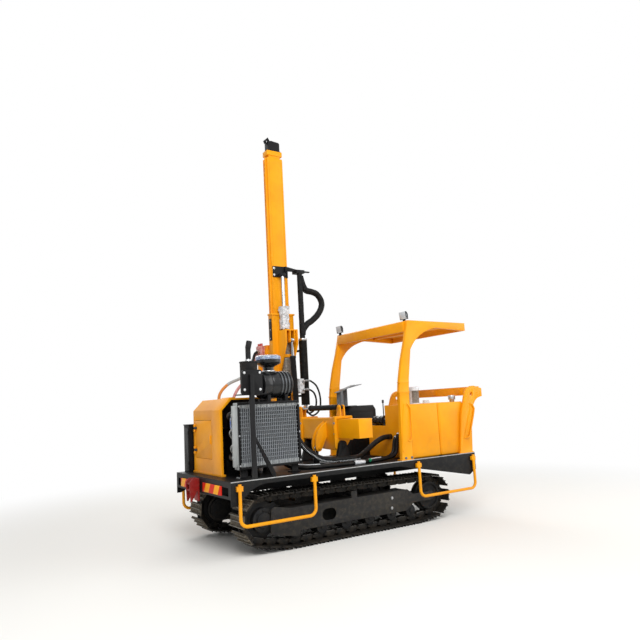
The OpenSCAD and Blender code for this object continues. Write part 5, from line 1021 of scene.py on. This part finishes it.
trimBars = {
    "radiatorFrame": ("chassis", "black_paint", None, 2, [(x, (-603, -597), z) for x, z in (
        ((-1405, -1379), (869, 1581)), ((-655, -629), (869, 1581)),
        ((-1380, -654), (1556, 1581)), ((-1380, -654), (869, 895)))]),
    # a strip along the deck's near edge: worn steel, painted bright as a highlight
    "deckEdge": ("chassis", "black_paint", "wornEdgeHighlight", 1.5, [
        ((-1599, 1939), (-801.5, -796), (771, 781))]),
    # black panels inside the hood's far wall, painted shade where the engine bay lies dark
    "hoodShadePanels": ("chassis", "black_paint", "paintedShadeBlack", 3, [
        (x, (548, 562), (830, 1500)) for x in ((-1425, -1150), (-1148, -870), (-868, -570))]),
    # a black pad on the carriage's side, where that side lies in shade: painted shade
    "carriageShadeStrip": ("carriage", "black_paint", None, 2, [
        ((-27, -19), (1100, 1180), (2480, 2800))]),
}


def makeTrim():
    for name, (body, slot, cover, width, bars) in trimBars.items():
        parts = [addBlock(*bar, width) for bar in bars]
        finishPiece(joinPieces(parts), name, body, slot, cover)


makeTrim()
print("radiator and trim")

# grab rails by the tank, and small lines round the engine: slot, material, radius and ways

rails = {"radius": 9, "lines": [
    [(800, -786, 1470), (815, -808, 1464), (848, -814, 1425), (860, -814, 1360),
     (856, -814, 1080), (846, -814, 1030), (820, -808, 1012), (795, -786, 1010)],
    [(1935, -786, 1425), (1955, -806, 1415), (1985, -812, 1370), (1982, -812, 1310),
     (1880, -812, 1035), (1852, -812, 992), (1820, -806, 976), (1795, -786, 974)]]}
bayHoses = {  # each end lies inside the engine, the side tank or the fan shroud
    "coolantHoses": ("hose_rubber", None, 24, [
        [(-1420, -535, 1470), (-1421, -500, 1470), (-1424, -450, 1462), (-1410, -380, 1440),
         (-1350, -310, 1400), (-1250, -262, 1360), (-1165, -250, 1345), (-1120, -240, 1342),
         (-1105, -200, 1340)],
        [(-1420, -535, 985), (-1420, -500, 985), (-1415, -440, 990), (-1380, -360, 1010),
         (-1300, -290, 1035), (-1220, -262, 1050), (-1175, -245, 1055), (-1150, -200, 1055)]]),
    # blue looms, whose pale patches are painted highlights
    "wiringLooms": ("hose_rubber", "blueWithHighlights", 7, [
        [(-1372, -432, 1500), (-1382, -405, 1490), (-1388, -380, 1400), (-1370, -350, 1300),
         (-1300, -290, 1220), (-1220, -255, 1180), (-1170, -240, 1160), (-1150, -205, 1155)]]),
    "fuelLines": ("hose_rubber", "greySleeve", 8, [
        [(-1372, -432, 1300), (-1392, -400, 1290), (-1398, -370, 1250), (-1340, -320, 1180),
         (-1250, -268, 1130), (-1175, -240, 1110), (-1150, -205, 1108)],
        [(-1372, -432, 1130), (-1390, -400, 1120), (-1388, -370, 1070), (-1330, -315, 1010),
         (-1240, -268, 975), (-1175, -240, 960), (-1150, -205, 958)]]),
}


def makeRails():
    lines = [smoothPath(route(line), 4) for line in rails["lines"]]
    tubes = [tubePiece("rail", line, rails["radius"], 4) for line in lines]
    finishPiece(joinPieces(tubes), "grabRails", "chassis", "yellow_paint")


def makeBayHoses():
    for name, (slot, cover, radius, ways) in bayHoses.items():
        runs = [tubePiece("run", smoothPath(route(way)), radius, 4) for way in ways]
        finishPiece(joinPieces(runs), name, "chassis", slot, cover)


makeRails()
makeBayHoses()
print("rails and small lines")

# bolts: body, radius, material, the way they point, and their places

boltSpots = {
    "plateBolts": ("chassis", 8.5, "brightBolt", (0, -1, 0), [
        (x, -749.3, z) for x in (-1380, -1195) for z in (1712, 1893)]),
    "bracketBolts": ("mast_body", 10, "brightBolt", (0, -1, 0), [
        (60, 1106, z) for z in (3470, 3570)]),
    "frameBolts": ("chassis", 10, "zinc", (0, -1, 0), [(558, -702, 347), (547, -702, 231)]),
    "sleeveBolts": ("slide_frame", 11, "zinc", (-1, 0, 0), [
        (67, y, z) for z in (1270, 1140) for y in (-262, 553)]),
    "stripBolts": ("carriage", 6, "zinc", (-1, 0, 0), [
        (-27, 1140, z) for z in (2510, 2640, 2770)]),
    "radiatorBolts": ("chassis", 6, "zinc", (0, -1, 0), [
        (x, -603, z) for x in (-1392, -642) for z in (910, 1225, 1540)]),
    "spliceBolts": ("chassis", 10, "leverGrey", (0, -1, 0), [
        (x, -797.5, 808) for x in (745, 840)]),
}


def makeBolts():
    for name, (body, radius, material, axis, places) in boltSpots.items():
        bolts = placeCopies(boltHead(radius), places, axis)
        finishPiece(bolts, name, body, "chrome_rod", material)


# welds on the mast: spots, and a seam along each side that wanders a little

weld = {"x": (72, 268), "y": 1120, "spotZ": (3686, 4086, 4486, 4886),
        "spot": [(0, 0), (11, 0), (10, 1.2), (6, 2.4), (2, 2.2), (0, 1.6)],
        "seamY": 1120.5, "seamZ": (3600, 5300, 10), "seamRadius": 2.2, "wander": 1500}


def makeWelds():
    spots = [(x, weld["y"], z) for x in weld["x"] for z in weld["spotZ"]]
    beads = placeCopies(lathe("bead", weld["spot"]), spots, (0, -1, 0))
    finishPiece(beads, "mastWelds", "mast_body", "yellow_paint")
    seams = []
    for x in weld["x"]:
        line = [at(x, weld["seamY"], z) for z in range(*weld["seamZ"])]
        for point, z in zip(line, range(*weld["seamZ"])):
            point.x += noise.noise(Vector((x, z, 0))) / weld["wander"]
        seams.append(tubePiece("seam", line, weld["seamRadius"], 1))
    finishPiece(joinPieces(seams), "mastSeams", "mast_body", "yellow_paint")


makeBolts()
makeWelds()
print("bolts and welds")
